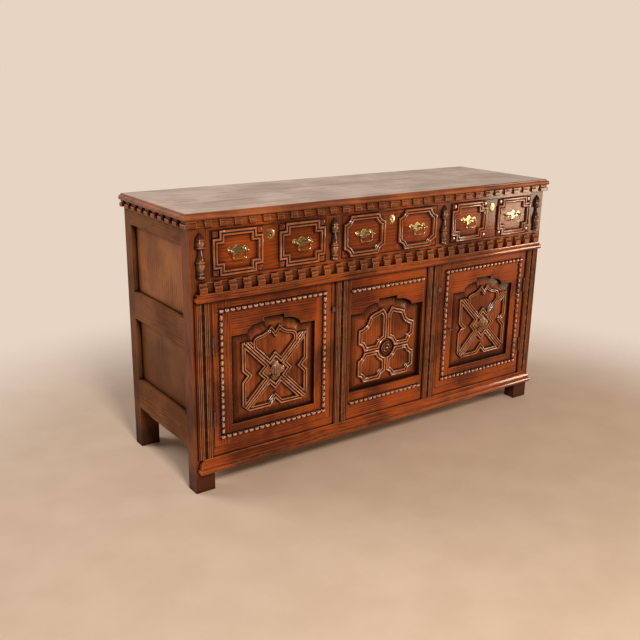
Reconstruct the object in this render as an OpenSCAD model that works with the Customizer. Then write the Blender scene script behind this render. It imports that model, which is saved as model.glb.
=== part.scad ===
// Joined oak dresser base: three drawers over two doors and a fixed centre panel.
// Front faces -Y, +X is to the right, +Z is up, and the origin is on the floor under the middle.
// Inside the modules x runs from the left post, y back from the front face, z up from the floor.

/* [Case] */
// Width of the case over its corner posts
case_w = 1532; // [1500:1:1600]
// Depth of the case over its corner posts
case_d = 468; // [440:1:520]
// Height of the top surface over the floor
case_h = 900; // [880:1:940]
// Width of a corner post, seen from the front
post_w = 68; // [66:1:74]
// Depth of a front post, seen from the side
front_post_d = 50; // [46:1:60]
// Depth of a rear post, seen from the side
rear_post_d = 48; // [44:1:60]
// Thickness of the front rails
rail_t = 32; // [28:1:36]
// Thickness of the side rails
side_rail_t = 30; // [28:1:36]

/* [Front rails] */
// Height of the feet under the front bottom rail
foot_h = 70; // [60:1:90]
// Height of the front bottom rail
bottom_rail_h = 72; // [66:1:90]
// Height of the middle rail between doors and drawers
middle_rail_h = 73; // [70:1:90]
// Height of the drawer openings
drawer_zone_h = 147; // [135:1:165]
// Height of the front top rail behind the cornice
top_rail_h = 32; // [30:1:45]
// Width of a muntin between two drawers
drawer_muntin_w = 62; // [56:1:70]
// Width of a muntin beside the centre panel
door_muntin_w = 81; // [79:1:90]
// Width of a door opening
door_open_w = 452; // [440:1:460]

/* [Side rails] */
// Height of the lower edge of the side bottom rail over the floor
side_foot_h = 150; // [120:1:160]
// Height of the side bottom rail
side_bottom_rail_h = 105; // [90:1:115]
// Height of the lower edge of the side middle rail over the floor
side_middle_z = 478; // [440:1:500]
// Height of the side middle rail
side_middle_rail_h = 94; // [80:1:110]
// Height of the side top rail
side_top_rail_h = 76; // [60:1:90]
// Distance from the face of a side rail back to its panel
side_panel_set = 18; // [12:1:19]
// Thickness of the side panels
side_panel_t = 8; // [6:1:9]

/* [Joints] */
// Length of a tenon
tenon_l = 30; // [20:1:34]
// Thickness of a tenon
tenon_t = 9; // [7:1:10]
// Shoulder over and under a tenon
tenon_shoulder = 8; // [6:1:12]
// Depth that a panel enters its groove
groove_d = 6; // [4:1:8]

/* [Top] */
// Thickness of the top boards
top_t = 22; // [20:1:28]
// Overhang of the top at each side
top_side_out = 19; // [16:1:26]
// Overhang of the top at the front
top_front_out = 12; // [11:1:20]
// Number of boards in the top
top_boards_n = 3; // [2:1:4]
// Open joint between two boards
board_gap = 0.4; // [0.3:0.1:0.8]

/* [Mouldings on the case] */
// Height of the cornice under the top
cornice_h = 21; // [18:1:28]
// How far the cornice stands out at the front
cornice_out = 10; // [8:1:11]
// How far the cornice stands out at the sides
cornice_side_out = 16; // [12:1:16]
// Spacing of the dentils
dentil_pitch = 50.3; // [44:0.1:60]
// Width of a gap between two dentils
dentil_gap = 27; // [20:1:30]
// Height of the dentil band on the middle rail
band_h = 31; // [26:1:32]
// How far the dentil band stands out
band_out = 18; // [14:1:22]
// Height of the lip under the dentil band
lip_h = 28; // [24:1:30]
// How far the lip stands out
lip_out = 24; // [20:1:26]
// Distance from the end of the case to the root of a returned end
return_in = 32; // [29:1:40]
// Height of the base moulding
base_moulding_h = 44; // [36:1:52]
// How far the base moulding stands out, the furthest that anything reaches
base_out = 26; // [26:1:31]

/* [Split spindles and strips] */
// Length of a split spindle
spindle_l = 138; // [126:1:140]
// Largest radius of a split spindle
spindle_r = 19; // [14:1:24]
// Width of a reeded strip
strip_w = 55; // [48:1:55]
// Thickness of a reeded strip
strip_t = 7; // [5:1:7]
// Distance from the outer edge of a post to its reeded strip
strip_in = 10; // [8:1:10]
// Spacing of the gouged slots in a reeded strip
slot_pitch = 32; // [26:1:40]
// Length of a gouged slot
slot_l = 23; // [12:1:24]
// Width of a gouged slot
slot_w = 8; // [5:1:9]

/* [Doors] */
// Thickness of a door frame
door_t = 24; // [22:1:28]
// Gap round a door
door_gap = 3; // [2.8:0.1:3.6]
// Width of a door stile
door_stile_w = 64; // [58:1:70]
// Height of the lower rail of a door
door_low_rail_h = 64; // [58:1:72]
// Height of the upper rail of a door at its shoulders
door_shoulder_h = 118; // [112:1:124]
// Rise of the arch over the shoulders of a door
door_arch_rise = 43; // [38:1:46]
// Height of the flat step at the crown of an arch
arch_step = 13; // [8:1:16]
// Width of a shoulder beside the arch
arch_shoulder_w = 57; // [50:1:62]
// Half the width of the flat crown of an arch
arch_flat = 39; // [32:1:42]
// Width of the bevel round a raised panel
bevel_w = 34; // [28:1:36]
// Height of the boss centre as a share of the raised field of a door
door_boss_share = 0.4326; // [0.42:0.001:0.45]
// Distance of the raised field behind the face of a door
door_field_set = 1; // [0.5:0.5:3]
// Radius of a bead
bead_r = 8.5; // [6:0.5:9]
// Spacing of the beads
bead_pitch = 20; // [19:0.5:24]
// Distance from a door edge to the middle of a bead column
bead_in_x = 28; // [22:1:36]
// Distance from a door edge to the middle of a bead row
bead_in_z = 31; // [22:1:36]

/* [Centre panel] */
// Height of the lower rail under the centre panel
centre_low_h = 70; // [60:1:80]
// Height of the upper rail of the centre panel at its shoulders
centre_shoulder_h = 128; // [118:1:134]
// Rise of the quarter arches over those shoulders
centre_arch_rise = 29; // [24:1:32]
// Height of the boss centre as a share of the raised field of the centre panel
centre_boss_share = 0.42; // [0.4:0.005:0.44]
// Distance of the upper bead row under the middle rail
centre_bead_high = 43; // [36:1:50]
// Distance of the lower bead row over the bottom rail
centre_bead_low = 33; // [28:1:40]

/* [Applied mouldings] */
// Width of the mouldings along the cross and the sides of a door panel
door_mould_w = 16.5; // [12:0.5:18]
// Width of the mouldings under the arch of a door panel
door_arch_mould_w = 13; // [10:0.5:14]
// Height of the mouldings on the doors
door_mould_h = 9; // [6:1:10]
// Width of the mouldings on the centre panel
centre_mould_w = 17; // [12:1:18]
// Height of the mouldings on the centre panel
centre_mould_h = 8; // [6:1:10]
// Radius of the flower boss on the centre panel
centre_boss_r = 24; // [18:1:25]
// Distance of the raised field of the centre panel behind its frame
centre_field_set = 7; // [3:1:9]
// Width of the mouldings on the drawers
drawer_mould_w = 17; // [13:1:19]
// Height of the mouldings on the drawers
drawer_mould_h = 9; // [6:1:10]

// Length of a leaf of the door boss from its centre
boss_leaf_l = 38; // [30:1:40]
// Length of the bud on the door boss
boss_bud_l = 46; // [36:1:48]

/* [Drawers] */
// Thickness of a drawer front
drawer_front_t = 22; // [18:1:26]
// Length of a drawer, front to back
drawer_l = 400; // [340:1:410]
// Height of the sides of a drawer
drawer_side_h = 124; // [100:1:126]
// Thickness of the sides and back of a drawer
drawer_side_t = 11; // [8:1:14]
// Thickness of the bottom of a drawer
drawer_bottom_t = 8; // [6:1:10]
// Gap at each side of a drawer
drawer_gap = 2.4; // [1.4:0.1:3]
// Gap over a drawer front
drawer_top_gap = 2; // [1:0.1:3]
// Gap under a drawer front
drawer_low_gap = 2; // [1:0.1:3]
// Running gap between a drawer and its runners
run_gap = 0.3; // [0.3:0.1:0.6]
// Gap between the two panels of a drawer, where the key plate sits
panel_gap = 59; // [48:1:66]
// Margin between a panel and the end of its drawer front
panel_margin = 4; // [3:1:8]
// Size of the square set in at each corner of a side drawer panel
ear = 23; // [18:1:26]
// Radius of the hollow corner of a centre drawer panel
hollow_r = 27; // [20:1:30]
// Thickness of the drawer runners
runner_t = 24; // [18:1:30]
// Bearing width of a runner under a drawer side
runner_w = 20; // [16:1:26]

/* [Handles and locks] */
// Distance between the two posts of a drawer handle
handle_span = 58; // [52:1:66]
// Height of the handle posts over the middle of the drawer
handle_up = 4; // [0:1:8]
// Distance of the bail axis in front of the drawer face
handle_reach = 15; // [12:1:18]
// Drop of a bail from its axis
bail_drop = 25; // [20:1:30]
// Radius of the bail wire
bail_r = 1.7; // [1.3:0.1:2]
// Radius of the ball at the end of a handle post
handle_head_r = 4.6; // [4:0.1:5]
// Radius of the pintles that carry a bail
pintle_r = 1.5; // [1.2:0.1:1.8]
// Thickness of the brass plates
plate_t = 1.2; // [0.8:0.1:1.6]
// Width of an oval key plate
key_plate_w = 27; // [22:1:30]
// Height of an oval key plate
key_plate_h = 33; // [28:1:38]
// Height of a key plate centre over the middle of the drawer
key_plate_up = 42; // [36:1:46]
// Radius of a hinge knuckle
knuckle_r = 3.2; // [2.6:0.1:3.4]
// Radius of a hinge pin
hinge_pin_r = 1.5; // [1.2:0.1:1.7]
// Height of a hinge
hinge_h = 56; // [46:1:70]
// Height of the lower hinge centre over the lower edge of the door
hinge_low = 97; // [80:1:120]
// Distance of the upper hinge centre under the upper edge of the door
hinge_high = 136; // [110:1:150]
// Depth of a hinge leaf
leaf_d = 20; // [14:1:22]
// Distance of the turn buttons under the middle rail
button_down = 96; // [60:1:150]
// Radius of a turn button round its pin
button_r = 7.5; // [6:0.5:7.5]
// Thickness of a turn button
button_t = 5; // [3:0.5:6]
// Distance from the pin to the tip of a turn button
button_l = 11; // [10:0.5:14]
// Radius of the pin of a turn button
button_pin_r = 2; // [1.5:0.1:2.5]
// Distance from a door edge to the keyhole
keyhole_in = 47; // [44:1:50]
// Height of the keyholes over the lower edge of the door
keyhole_up = 230; // [200:1:260]
// Width of a lock case on the inner face of a door
lock_w = 52; // [50:1:56]
// Height of a lock case
lock_h = 70; // [50:1:90]
// Thickness of a lock case
lock_t = 14; // [12:1:18]
// Radius of the shank of the key
key_r = 2.2; // [1.6:0.1:2.6]
// How far the key stands out of the door
key_out = 25; // [22:1:25]
// Radius of the ring of the key
key_bow_r = 6.5; // [5:0.5:7]
// Radius of the wire of that ring
key_ring_r = 1.7; // [1.3:0.1:2]

/* [Inside] */
// Thickness of the back boards
back_board_t = 12; // [9:1:15]
// Number of back boards
back_boards_n = 7; // [5:1:9]
// Thickness of the back rails
back_rail_t = 24; // [20:1:30]
// Thickness of the floor boards
floor_board_t = 12; // [10:1:16]
// Number of floor boards
floor_boards_n = 7; // [5:1:9]
// Width and height of the bearers under the floor boards
bearer = 16; // [12:1:20]
// Height of the drawer guides over the runners
guide_h = 26; // [16:1:40]

/* [Hidden] */

// Levels over the floor
z_door0 = foot_h + bottom_rail_h;
z_top0 = case_h - top_t;
z_drawer1 = z_top0 - top_rail_h;
z_drawer0 = z_drawer1 - drawer_zone_h;
z_door1 = z_drawer0 - middle_rail_h;
door_zone_h = z_door1 - z_door0;

// Places across and through the case
inner_w = case_w - 2 * post_w;
drawer_open_w = (inner_w - 2 * drawer_muntin_w) / 3;
centre_w = inner_w - 2 * door_open_w - 2 * door_muntin_w;
mid_x = case_w / 2;
centre_x = post_w + door_open_w + door_muntin_w;
shift_y = (base_out - case_d) / 2;
side_len = case_d - front_post_d - rear_post_d;
back_face = case_d - back_board_t;
back_rail_y = back_face - back_rail_t;

// Doors
door_w = door_open_w - 2 * door_gap;
door_edge_gap = 2;
door_h = door_zone_h - 2 * door_edge_gap;
door_z = z_door0 + door_edge_gap;
door_x = post_w + door_gap;
door_hw = door_w / 2 - door_stile_w;
arch_points = 5;
panel_tongue_t = 6;
door_groove_y = 10;
centre_groove_y = 15;

// Brass and iron
fit_gap = 0.06;
leaf_t = door_gap / 2 - 0.3;
axis_x = post_w + door_gap / 2;
axis_y = -knuckle_r - 0.4;
button_x = post_w + door_open_w - door_gap + 0.5 + button_r;
button_z = z_door1 - button_down;
key_hole_r = key_r + fit_gap;

// Finish colours
oak = "#7d3b1a";
oak_dark = "#5e2b14";
oak_top = "#8b7768";
oak_side = "#6a402a";
oak_raw = "#8f6d4c";
brass = "#b3924e";
iron = "#77736c";

// Outline helpers: a path runs anticlockwise as seen from the front
function unit(v) = v / norm(v);
function left_of(a, b) = [a[1] - b[1], b[0] - a[0]] / norm(b - a);
function corner(path, i, d) = mitre(path, i, d, d);
function mitre(path, i, da, db) =
    let (n = len(path), p = path[i])
    let (na = left_of(path[(i + n - 1) % n], p), nb = left_of(p, path[(i + 1) % n]), c = na * nb)
    da == db ? p + (na + nb) * da / (1 + c) : p + (na * (da - db * c) + nb * (db - da * c)) / (1 - c * c);
function inset(path, d) = [for (i = [0:len(path) - 1]) corner(path, i, d)];
function backwards(list) = [for (i = [len(list) - 1:-1:0]) list[i]];
function mirrored(path) = [for (p = backwards(path)) [-p[0], p[1]]];
function fitted(path, across, up) = [for (p = path) [p[0] * across, p[1] * up]];

// Opening with shoulders, quarter arches and a flat crown: half width, four levels, widths
function arch(hw, z0, z_shoulder, z_arc, z_crown, shoulder_w, flat) =
    let (rx = hw - shoulder_w - flat, rz = z_arc - z_shoulder)
    let (half = [for (i = [0:arch_points]) let (a = 90 * i / arch_points)
        [flat + rx * cos(a), z_shoulder + rz * sin(a)]])
    let (right = concat([[hw, z0], [hw, z_shoulder]], half, [[flat, z_crown]]))
    concat(right, mirrored(right));

// Everything drawn from the front left foot is moved to the common origin
module placed()
    translate([-case_w / 2, shift_y, 0]) children();

module block(x, y, z, w, d, h)
    translate([x, y, z]) cube([w, d, h]);

// A profile of depth and height, drawn along x or along y
module along_x(x0, x1, points)
    translate([x0, 0, 0]) rotate([90, 0, 90]) linear_extrude(x1 - x0) polygon(points);

module along_y(y0, y1, points)
    translate([0, y1, 0]) rotate([90, 0, 0]) linear_extrude(y1 - y0) polygon(points);

// Moulding whose profile also turns back round both ends: points are [out, height]
module returned(x0, x1, points) {
    out_max = max([for (p = points) p[0]]) + 1;
    intersection() {
        along_x(x0 - out_max, x1 + out_max, concat(
            [[0, points[0][1]]],
            [for (p = points) [-p[0], p[1]]],
            [[0, points[len(points) - 1][1]]]));
        along_y(-out_max, 0, concat(
            [for (p = points) [x0 - p[0], p[1]]],
            [for (p = backwards(points)) [x1 + p[0], p[1]]]));
    }
}

// Closed moulding mitred round a path: points are [distance in, height over the face]. The share of
// the full width may be less on some edges, and edge i starts at point i
module mitred(path, points, y0, shares = []) {
    n = len(path);
    m = len(points);
    width = [for (i = [0:n - 1]) len(shares) == n ? shares[i] : 1];
    polyhedron(
        [for (i = [0:n - 1]) for (p = points)
            let (q = mitre(path, i, p[0] * width[(i + n - 1) % n], p[0] * width[i])) [q[0], y0 - p[1], q[1]]],
        [for (i = [0:n - 1]) for (j = [0:m - 1]) let (i1 = (i + 1) % n, j1 = (j + 1) % m)
            [i * m + j, i * m + j1, i1 * m + j1, i1 * m + j]]);
}

// Solid between an outline at the back and an outline of as many points in front
module lofted(back, y_back, front, y_front) {
    n = len(back);
    polyhedron(
        concat([for (p = back) [p[0], y_back, p[1]]], [for (p = front) [p[0], y_front, p[1]]]),
        concat(
            [for (i = [0:n - 1]) [i, n + i, n + (i + 1) % n]],
            [for (i = [0:n - 1]) [i, n + (i + 1) % n, (i + 1) % n]],
            [[for (i = [0:n - 1]) i]],
            [[for (i = [n - 1:-1:0]) n + i]]));
}

// Round wire bent along a path in the x and z plane
module wire(path, r, sides) {
    n = len(path);
    normals = [for (i = [0:n - 1])
        let (a = path[max(i - 1, 0)], b = path[min(i + 1, n - 1)]) left_of(a, b)];
    polyhedron(
        [for (i = [0:n - 1]) for (k = [0:sides - 1]) let (a = 360 * k / sides)
            [path[i][0] + r * cos(a) * normals[i][0], r * sin(a), path[i][1] + r * cos(a) * normals[i][1]]],
        concat(
            [for (i = [0:n - 2]) for (k = [0:sides - 1]) let (k1 = (k + 1) % sides)
                [i * sides + k, i * sides + k1, (i + 1) * sides + k1, (i + 1) * sides + k]],
            [[for (k = [sides - 1:-1:0]) k]],
            [[for (k = [0:sides - 1]) (n - 1) * sides + k]]));
}

// Half of a turned shape, flat side at the back; standing along z or lying along x
module half_turned(points)
    rotate([0, 0, 180]) rotate_extrude(angle = 180, $fn = 32) polygon(points);

module half_turned_x(points)
    rotate([0, 90, 0]) half_turned(points);

// Ridged section of the applied mouldings
function ridges(w, h) = [
    [0, 0], [0, 0.55 * h], [0.1 * w, 0.92 * h], [0.24 * w, h], [0.4 * w, 0.66 * h], [0.52 * w, 0.62 * h],
    [0.66 * w, 0.78 * h], [0.8 * w, 0.7 * h], [0.92 * w, 0.34 * h], [w, 0.24 * h], [w, 0]
];

// Row of turned beads with flat necks between them
function bead_row(n, pitch) = concat(
    [[0, -pitch / 2], [bead_r / 2, -pitch / 2]],
    [for (i = [0:n - 1]) for (a = [-60:30:60]) [bead_r * cos(a), i * pitch + bead_r * sin(a)]],
    [[bead_r / 2, (n - 0.5) * pitch], [0, (n - 0.5) * pitch]]);

// Rail along x with a tenon at each end, and the same shape for its mortises
module tenons_x(x0, x1, z0, h, y0 = 0, t = rail_t, reach = tenon_l)
    block(x0 - reach, y0 + (t - tenon_t) / 2, z0 + tenon_shoulder,
        x1 - x0 + 2 * reach, tenon_t, h - 2 * tenon_shoulder);

module rail_x(x0, x1, z0, h, y0 = 0, t = rail_t, reach = tenon_l) {
    block(x0, y0, z0, x1 - x0, t, h);
    tenons_x(x0, x1, z0, h, y0, t, reach);
}

// Side rail with a tenon into each post
module tenons_y(z0, h)
    block((side_rail_t - tenon_t) / 2, front_post_d - tenon_l / 2, z0 + tenon_shoulder,
        tenon_t, side_len + tenon_l, h - 2 * tenon_shoulder);

module rail_y(z0, h) {
    block(0, front_post_d, z0, side_rail_t, side_len, h);
    tenons_y(z0, h);
}

// Muntin with a tenon up and down
module tenons_z(x0, w, z0, z1)
    block(x0 + tenon_shoulder, (rail_t - tenon_t) / 2, z0 - tenon_l / 2,
        w - 2 * tenon_shoulder, tenon_t, z1 - z0 + tenon_l);

module muntin(x0, w, z0, z1) {
    block(x0, 0, z0, w, rail_t, z1 - z0);
    tenons_z(x0, w, z0, z1);
}

function drawer_x(i) = post_w + i * (drawer_open_w + drawer_muntin_w);
function drawer_muntin_x(i) = drawer_x(i) + drawer_open_w;
door_muntin_x = [post_w + door_open_w, case_w - post_w - door_open_w - door_muntin_w];

// Side frame: three rails and two panels
side_rows = [
    [side_foot_h, side_bottom_rail_h],
    [side_middle_z, side_middle_rail_h],
    [z_top0 - side_top_rail_h, side_top_rail_h]
];
side_panel_rows = [
    [side_foot_h + side_bottom_rail_h, side_middle_z],
    [side_middle_z + side_middle_rail_h, z_top0 - side_top_rail_h]
];

module side_panel_solid(row)
    block(side_panel_set, front_post_d - groove_d, row[0] - groove_d,
        side_panel_t, side_len + 2 * groove_d, row[1] - row[0] + 2 * groove_d);

module side_rail_set()
    difference() {
        union()
            for (row = side_rows) rail_y(row[0], row[1]);
        for (row = side_panel_rows) side_panel_solid(row);
    }

module front_rail_tenons() {
    tenons_x(post_w, case_w - post_w, z_drawer1, top_rail_h);
    tenons_x(post_w, case_w - post_w, z_door1, middle_rail_h);
    tenons_x(post_w, case_w - post_w, foot_h, bottom_rail_h);
}

module side_rail_tenons()
    for (row = side_rows) tenons_y(row[0], row[1]);

module back_rail_tenons()
    for (row = back_rows)
        tenons_x(post_w, case_w - post_w, row[0], row[1], back_rail_y, back_rail_t, tenon_l / 2);

back_rows = [
    [z_top0 - side_top_rail_h, side_top_rail_h],
    [z_door1, middle_rail_h],
    [z_door0 - bottom_rail_h, bottom_rail_h]
];

module flipped()
    translate([case_w, 0, 0]) mirror([1, 0, 0]) children();

// Posts
module front_post() {
    color(oak) difference() {
        block(0, 0, 0, post_w, front_post_d, z_top0);
        front_rail_tenons();
        side_rail_tenons();
        for (row = side_panel_rows) side_panel_solid(row);
    }
}

module rear_post() {
    color(oak_side) difference() {
        block(0, case_d - rear_post_d, 0, post_w, rear_post_d, z_top0);
        side_rail_tenons();
        back_rail_tenons();
        for (row = side_panel_rows) side_panel_solid(row);
    }
}

module front_post_left() placed() front_post();
module front_post_right() placed() flipped() front_post();
module rear_post_left() placed() rear_post();
module rear_post_right() placed() flipped() rear_post();

module side_rails_left() color(oak_side) placed() side_rail_set();
module side_rails_right() color(oak_side) placed() flipped() side_rail_set();

module side_panels_left() color(oak_side) placed()
    for (row = side_panel_rows) side_panel_solid(row);
module side_panels_right() color(oak_side) placed() flipped()
    for (row = side_panel_rows) side_panel_solid(row);

// Front rails and muntins
module front_top_rail() color(oak) placed()
    difference() {
        rail_x(post_w, case_w - post_w, z_drawer1, top_rail_h);
        for (i = [0:1]) tenons_z(drawer_muntin_x(i), drawer_muntin_w, z_drawer0, z_drawer1);
    }

module front_middle_rail() color(oak) placed()
    difference() {
        rail_x(post_w, case_w - post_w, z_door1, middle_rail_h);
        for (i = [0:1]) tenons_z(drawer_muntin_x(i), drawer_muntin_w, z_drawer0, z_drawer1);
        for (x = door_muntin_x) tenons_z(x, door_muntin_w, z_door0, z_door1);
    }

module front_bottom_rail() color(oak) placed()
    difference() {
        rail_x(post_w, case_w - post_w, foot_h, bottom_rail_h);
        for (x = door_muntin_x) tenons_z(x, door_muntin_w, z_door0, z_door1);
    }

module drawer_muntins() color(oak) placed()
    for (i = [0:1]) muntin(drawer_muntin_x(i), drawer_muntin_w, z_drawer0, z_drawer1);

module door_muntins() color(oak) placed()
    difference() {
        for (x = door_muntin_x) muntin(x, door_muntin_w, z_door0, z_door1);
        centre_rail_tenons();
        centre_groove();
        for (x = [button_x, case_w - button_x])
            translate([x, -1, button_z]) rotate([-90, 0, 0])
                cylinder(h = 13, r = button_pin_r + fit_gap, $fn = 32);
    }

// Top: boards side by side with a thumb moulding round three edges
top_edge = [
    [-6, 0], [-1.5, 2.5], [0, 7.5], [-0.7, 12], [-3, 15.5], [-7, 17.5], [-8, 17.5], [-8, 19.4], [-9.5, 20.6]
];

module top_solid()
    intersection() {
        along_x(-top_side_out, case_w + top_side_out, concat(
            [for (p = top_edge) [-top_front_out - p[0], z_top0 + p[1]]],
            [[-top_front_out + 11, case_h], [case_d, case_h], [case_d, z_top0]]));
        along_y(-top_front_out, case_d, concat(
            [for (p = top_edge) [-top_side_out - p[0], z_top0 + p[1]]],
            [[-top_side_out + 11, case_h], [case_w + top_side_out - 11, case_h]],
            [for (p = backwards(top_edge)) [case_w + top_side_out + p[0], z_top0 + p[1]]]));
    }

module top_boards() color(oak_top) placed() {
    full = case_d + top_front_out;
    each_d = (full - (top_boards_n - 1) * board_gap) / top_boards_n;
    for (i = [0:top_boards_n - 1])
        intersection() {
            top_solid();
            block(-top_side_out - 1, -top_front_out + i * (each_d + board_gap), z_top0 - 1,
                case_w + 2 * top_side_out + 2, each_d, top_t + 2);
        }
}

// Dentils: a block whose upper part is set back behind a ledge, as shares of [depth, height]
dentil_section = [
    [0.96, 0], [1, 0.06], [1, 0.54], [0.92, 0.6], [0.6, 0.63], [0.56, 0.69], [0.68, 0.75], [0.7, 0.92], [0.62, 1]
];
dentil_back = 2;

// Cornice: three lengths mitred at the front corners, cut into dentils
cornice_z = z_top0 - cornice_h;

module cornice_block()
    intersection() {
        along_x(-cornice_side_out, case_w + cornice_side_out, concat(
            [[0, cornice_z]],
            [for (p = dentil_section) [-p[0] * cornice_out, cornice_z + p[1] * cornice_h]],
            [[case_d, z_top0], [case_d, cornice_z]]));
        along_y(-cornice_out, case_d, concat(
            [for (p = dentil_section) [-p[0] * cornice_side_out, cornice_z + p[1] * cornice_h]],
            [for (p = backwards(dentil_section))
                [case_w + p[0] * cornice_side_out, cornice_z + p[1] * cornice_h]]));
    }

module cornice_length(plan)
    intersection() {
        cornice_block();
        translate([0, 0, cornice_z - 1]) linear_extrude(cornice_h + 2) polygon(plan);
    }

mitre_gap = 0.5;
function row_count(length, pitch) = floor(length / pitch);

module cornice() color(oak) placed() {
    fo = cornice_out;
    so = cornice_side_out;
    n_front = row_count(case_w, dentil_pitch);
    n_side = row_count(case_d, dentil_pitch);
    difference() {
        cornice_length([[mitre_gap - so, -fo], [case_w + so - mitre_gap, -fo], [case_w - mitre_gap, 0],
            [mitre_gap, 0]]);
        for (i = [0:n_front - 1])
            block(mid_x + (i - (n_front - 1) / 2) * dentil_pitch - dentil_gap / 2, -fo - 1, cornice_z - 1,
                dentil_gap, fo + 1 - dentil_back, cornice_h + 2);
    }
    for (flip = [0, 1])
        mirror_if(flip) difference() {
            cornice_length([[-so, -fo], [0, 0], [0, case_d], [-so, case_d]]);
            for (i = [0:n_side - 1])
                block(-so - 1, case_d / 2 + (i - (n_side - 1) / 2) * dentil_pitch - dentil_gap / 2 + 3,
                    cornice_z - 1, so + 1 - dentil_back, dentil_gap, cornice_h + 2);
        }
}

module mirror_if(flip)
    if (flip == 1) flipped() children();
    else children();

// Dentil band and lip on the middle rail
lip_z = z_door1 + 4;
band_z = lip_z + lip_h;
lip_section = [
    [0.55, 0], [0.8, 0.06], [0.95, 0.18], [1, 0.34], [0.96, 0.5], [0.8, 0.64], [0.72, 0.72], [0.74, 0.8],
    [0.8, 0.88], [0.78, 1]
];
module dentil_band() color(oak) placed() {
    n = row_count(case_w - return_in, dentil_pitch);
    half = ((n + 1) * dentil_pitch - dentil_gap) / 2;
    difference() {
        along_x(mid_x - half, mid_x + half, concat(
            [[0, band_z]],
            [for (p = dentil_section) [-p[0] * band_out, band_z + p[1] * band_h]],
            [[0, band_z + band_h]]));
        for (i = [0:n - 1])
            block(mid_x + (i - (n - 1) / 2) * dentil_pitch - dentil_gap / 2, -band_out - 1, band_z - 1,
                dentil_gap, band_out + 1 - dentil_back, band_h + 2);
    }
}

module waist_lip() color(oak) placed()
    returned(return_in, case_w - return_in, [for (p = lip_section) [p[0] * lip_out, lip_z + p[1] * lip_h]]);

// Base moulding: a lower round, a groove, and an upper round that dies into the rail
base_section = [
    [0.76, 0], [0.9, 0.04], [0.98, 0.14], [1, 0.24], [0.94, 0.34], [0.78, 0.38], [0.74, 0.42], [0.8, 0.5],
    [0.76, 0.62], [0.66, 0.76], [0.46, 0.9], [0.24, 0.95], [0.22, 1]
];

module base_moulding() color(oak) placed()
    returned(return_in, case_w - return_in,
        [for (p = base_section) [p[0] * base_out, foot_h + p[1] * base_moulding_h]]);

// Split spindles, turned whole and sawn in half: radius and height as shares of the spindle
spindle_section = [
    [0, 0], [0.78, 0], [0.8, 0.045], [0.6, 0.065], [0.6, 0.085], [0.78, 0.1], [0.8, 0.12], [0.6, 0.145],
    [0.74, 0.2], [0.86, 0.27], [0.88, 0.305], [0.72, 0.33], [0.95, 0.345], [0.96, 0.375], [0.7, 0.39],
    [0.66, 0.43], [0.52, 0.51], [0.42, 0.6], [0.4, 0.66], [0.98, 0.67], [1, 0.69], [0.72, 0.705],
    [0.82, 0.74], [0.86, 0.77], [0.82, 0.8], [0.66, 0.825], [0.8, 0.835], [0.8, 0.855], [0.72, 0.87],
    [0.5, 0.925], [0.22, 0.985], [0, 1]
];

module split_spindles() color(oak_dark) placed() {
    centres = [post_w / 2, drawer_muntin_x(0) + drawer_muntin_w / 2, drawer_muntin_x(1) + drawer_muntin_w / 2,
        case_w - post_w / 2];
    for (x = centres)
        translate([x, 0, (z_drawer0 + z_drawer1 - spindle_l) / 2])
            half_turned([for (p = spindle_section) [p[0] * spindle_r, p[1] * spindle_l]]);
}

// Reeded strips: three reeds each side of a hollow with gouged slots
strip_z0 = foot_h + base_moulding_h;
strip_z1 = lip_z;
strip_plan = [
    [-0.5, 0], [-0.5, 0.6], [-0.47, 0.75], [-0.43, 0.6], [-0.4, 0.62], [-0.355, 0.95], [-0.31, 0.62],
    [-0.285, 0.62], [-0.24, 0.95], [-0.195, 0.62], [-0.17, 0.7], [-0.14, 1], [-0.11, 0.9], [-0.09, 0.5],
    [0.09, 0.5], [0.11, 0.9], [0.14, 1], [0.17, 0.7], [0.195, 0.62], [0.24, 0.95], [0.285, 0.62],
    [0.31, 0.62], [0.355, 0.95], [0.4, 0.62], [0.43, 0.6], [0.47, 0.75], [0.5, 0.6], [0.5, 0]
];

module reeded_strip() {
    length = strip_z1 - strip_z0;
    n = floor((length - slot_l) / slot_pitch) + 1;
    slot_floor = 0.2 * strip_t;
    difference() {
        translate([0, 0, strip_z0]) linear_extrude(length)
            polygon([for (p = strip_plan) [p[0] * strip_w, -p[1] * strip_t]]);
        for (i = [0:n - 1])
            block(-slot_w / 2, -strip_t, (strip_z0 + strip_z1 - slot_l) / 2 + (i - (n - 1) / 2) * slot_pitch,
                slot_w, strip_t - slot_floor, slot_l);
    }
}

module reeded_strips() color(oak) placed() {
    post_strip = strip_in + strip_w / 2;
    muntin_strip = post_w + door_open_w + door_muntin_w / 2;
    for (x = [post_strip, muntin_strip, case_w - muntin_strip, case_w - post_strip])
        translate([x, 0, 0]) reeded_strip();
}

// Centre panel between the muntins
centre_z0 = z_door0 + centre_low_h;
centre_z_shoulder = z_door1 - centre_shoulder_h;
centre_z_arc = centre_z_shoulder + centre_arch_rise;
centre_z_crown = centre_z_arc + arch_step;
centre_hw = centre_w / 2;
centre_opening = arch(centre_hw, centre_z0, centre_z_shoulder, centre_z_arc, centre_z_crown,
    arch_shoulder_w - 3, arch_flat + 3);
centre_field_z0 = centre_z0 + 0.7 * bevel_w;
centre_field_h = centre_z_crown - 0.85 * bevel_w - centre_field_z0;
centre_field = arch(centre_hw - bevel_w, centre_field_z0, centre_z_shoulder - 0.88 * bevel_w,
    centre_z_arc - 0.85 * bevel_w, centre_field_z0 + centre_field_h, arch_shoulder_w - 0.47 * bevel_w,
    arch_flat - 0.15 * bevel_w);
centre_boss_z = centre_field_z0 + centre_boss_share * centre_field_h;

module centre_at() translate([mid_x, 0, 0]) children();

module centre_groove()
    centre_at() translate([0, centre_groove_y + panel_tongue_t, 0]) rotate([90, 0, 0])
        linear_extrude(panel_tongue_t) polygon(inset(centre_opening, -groove_d));

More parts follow.
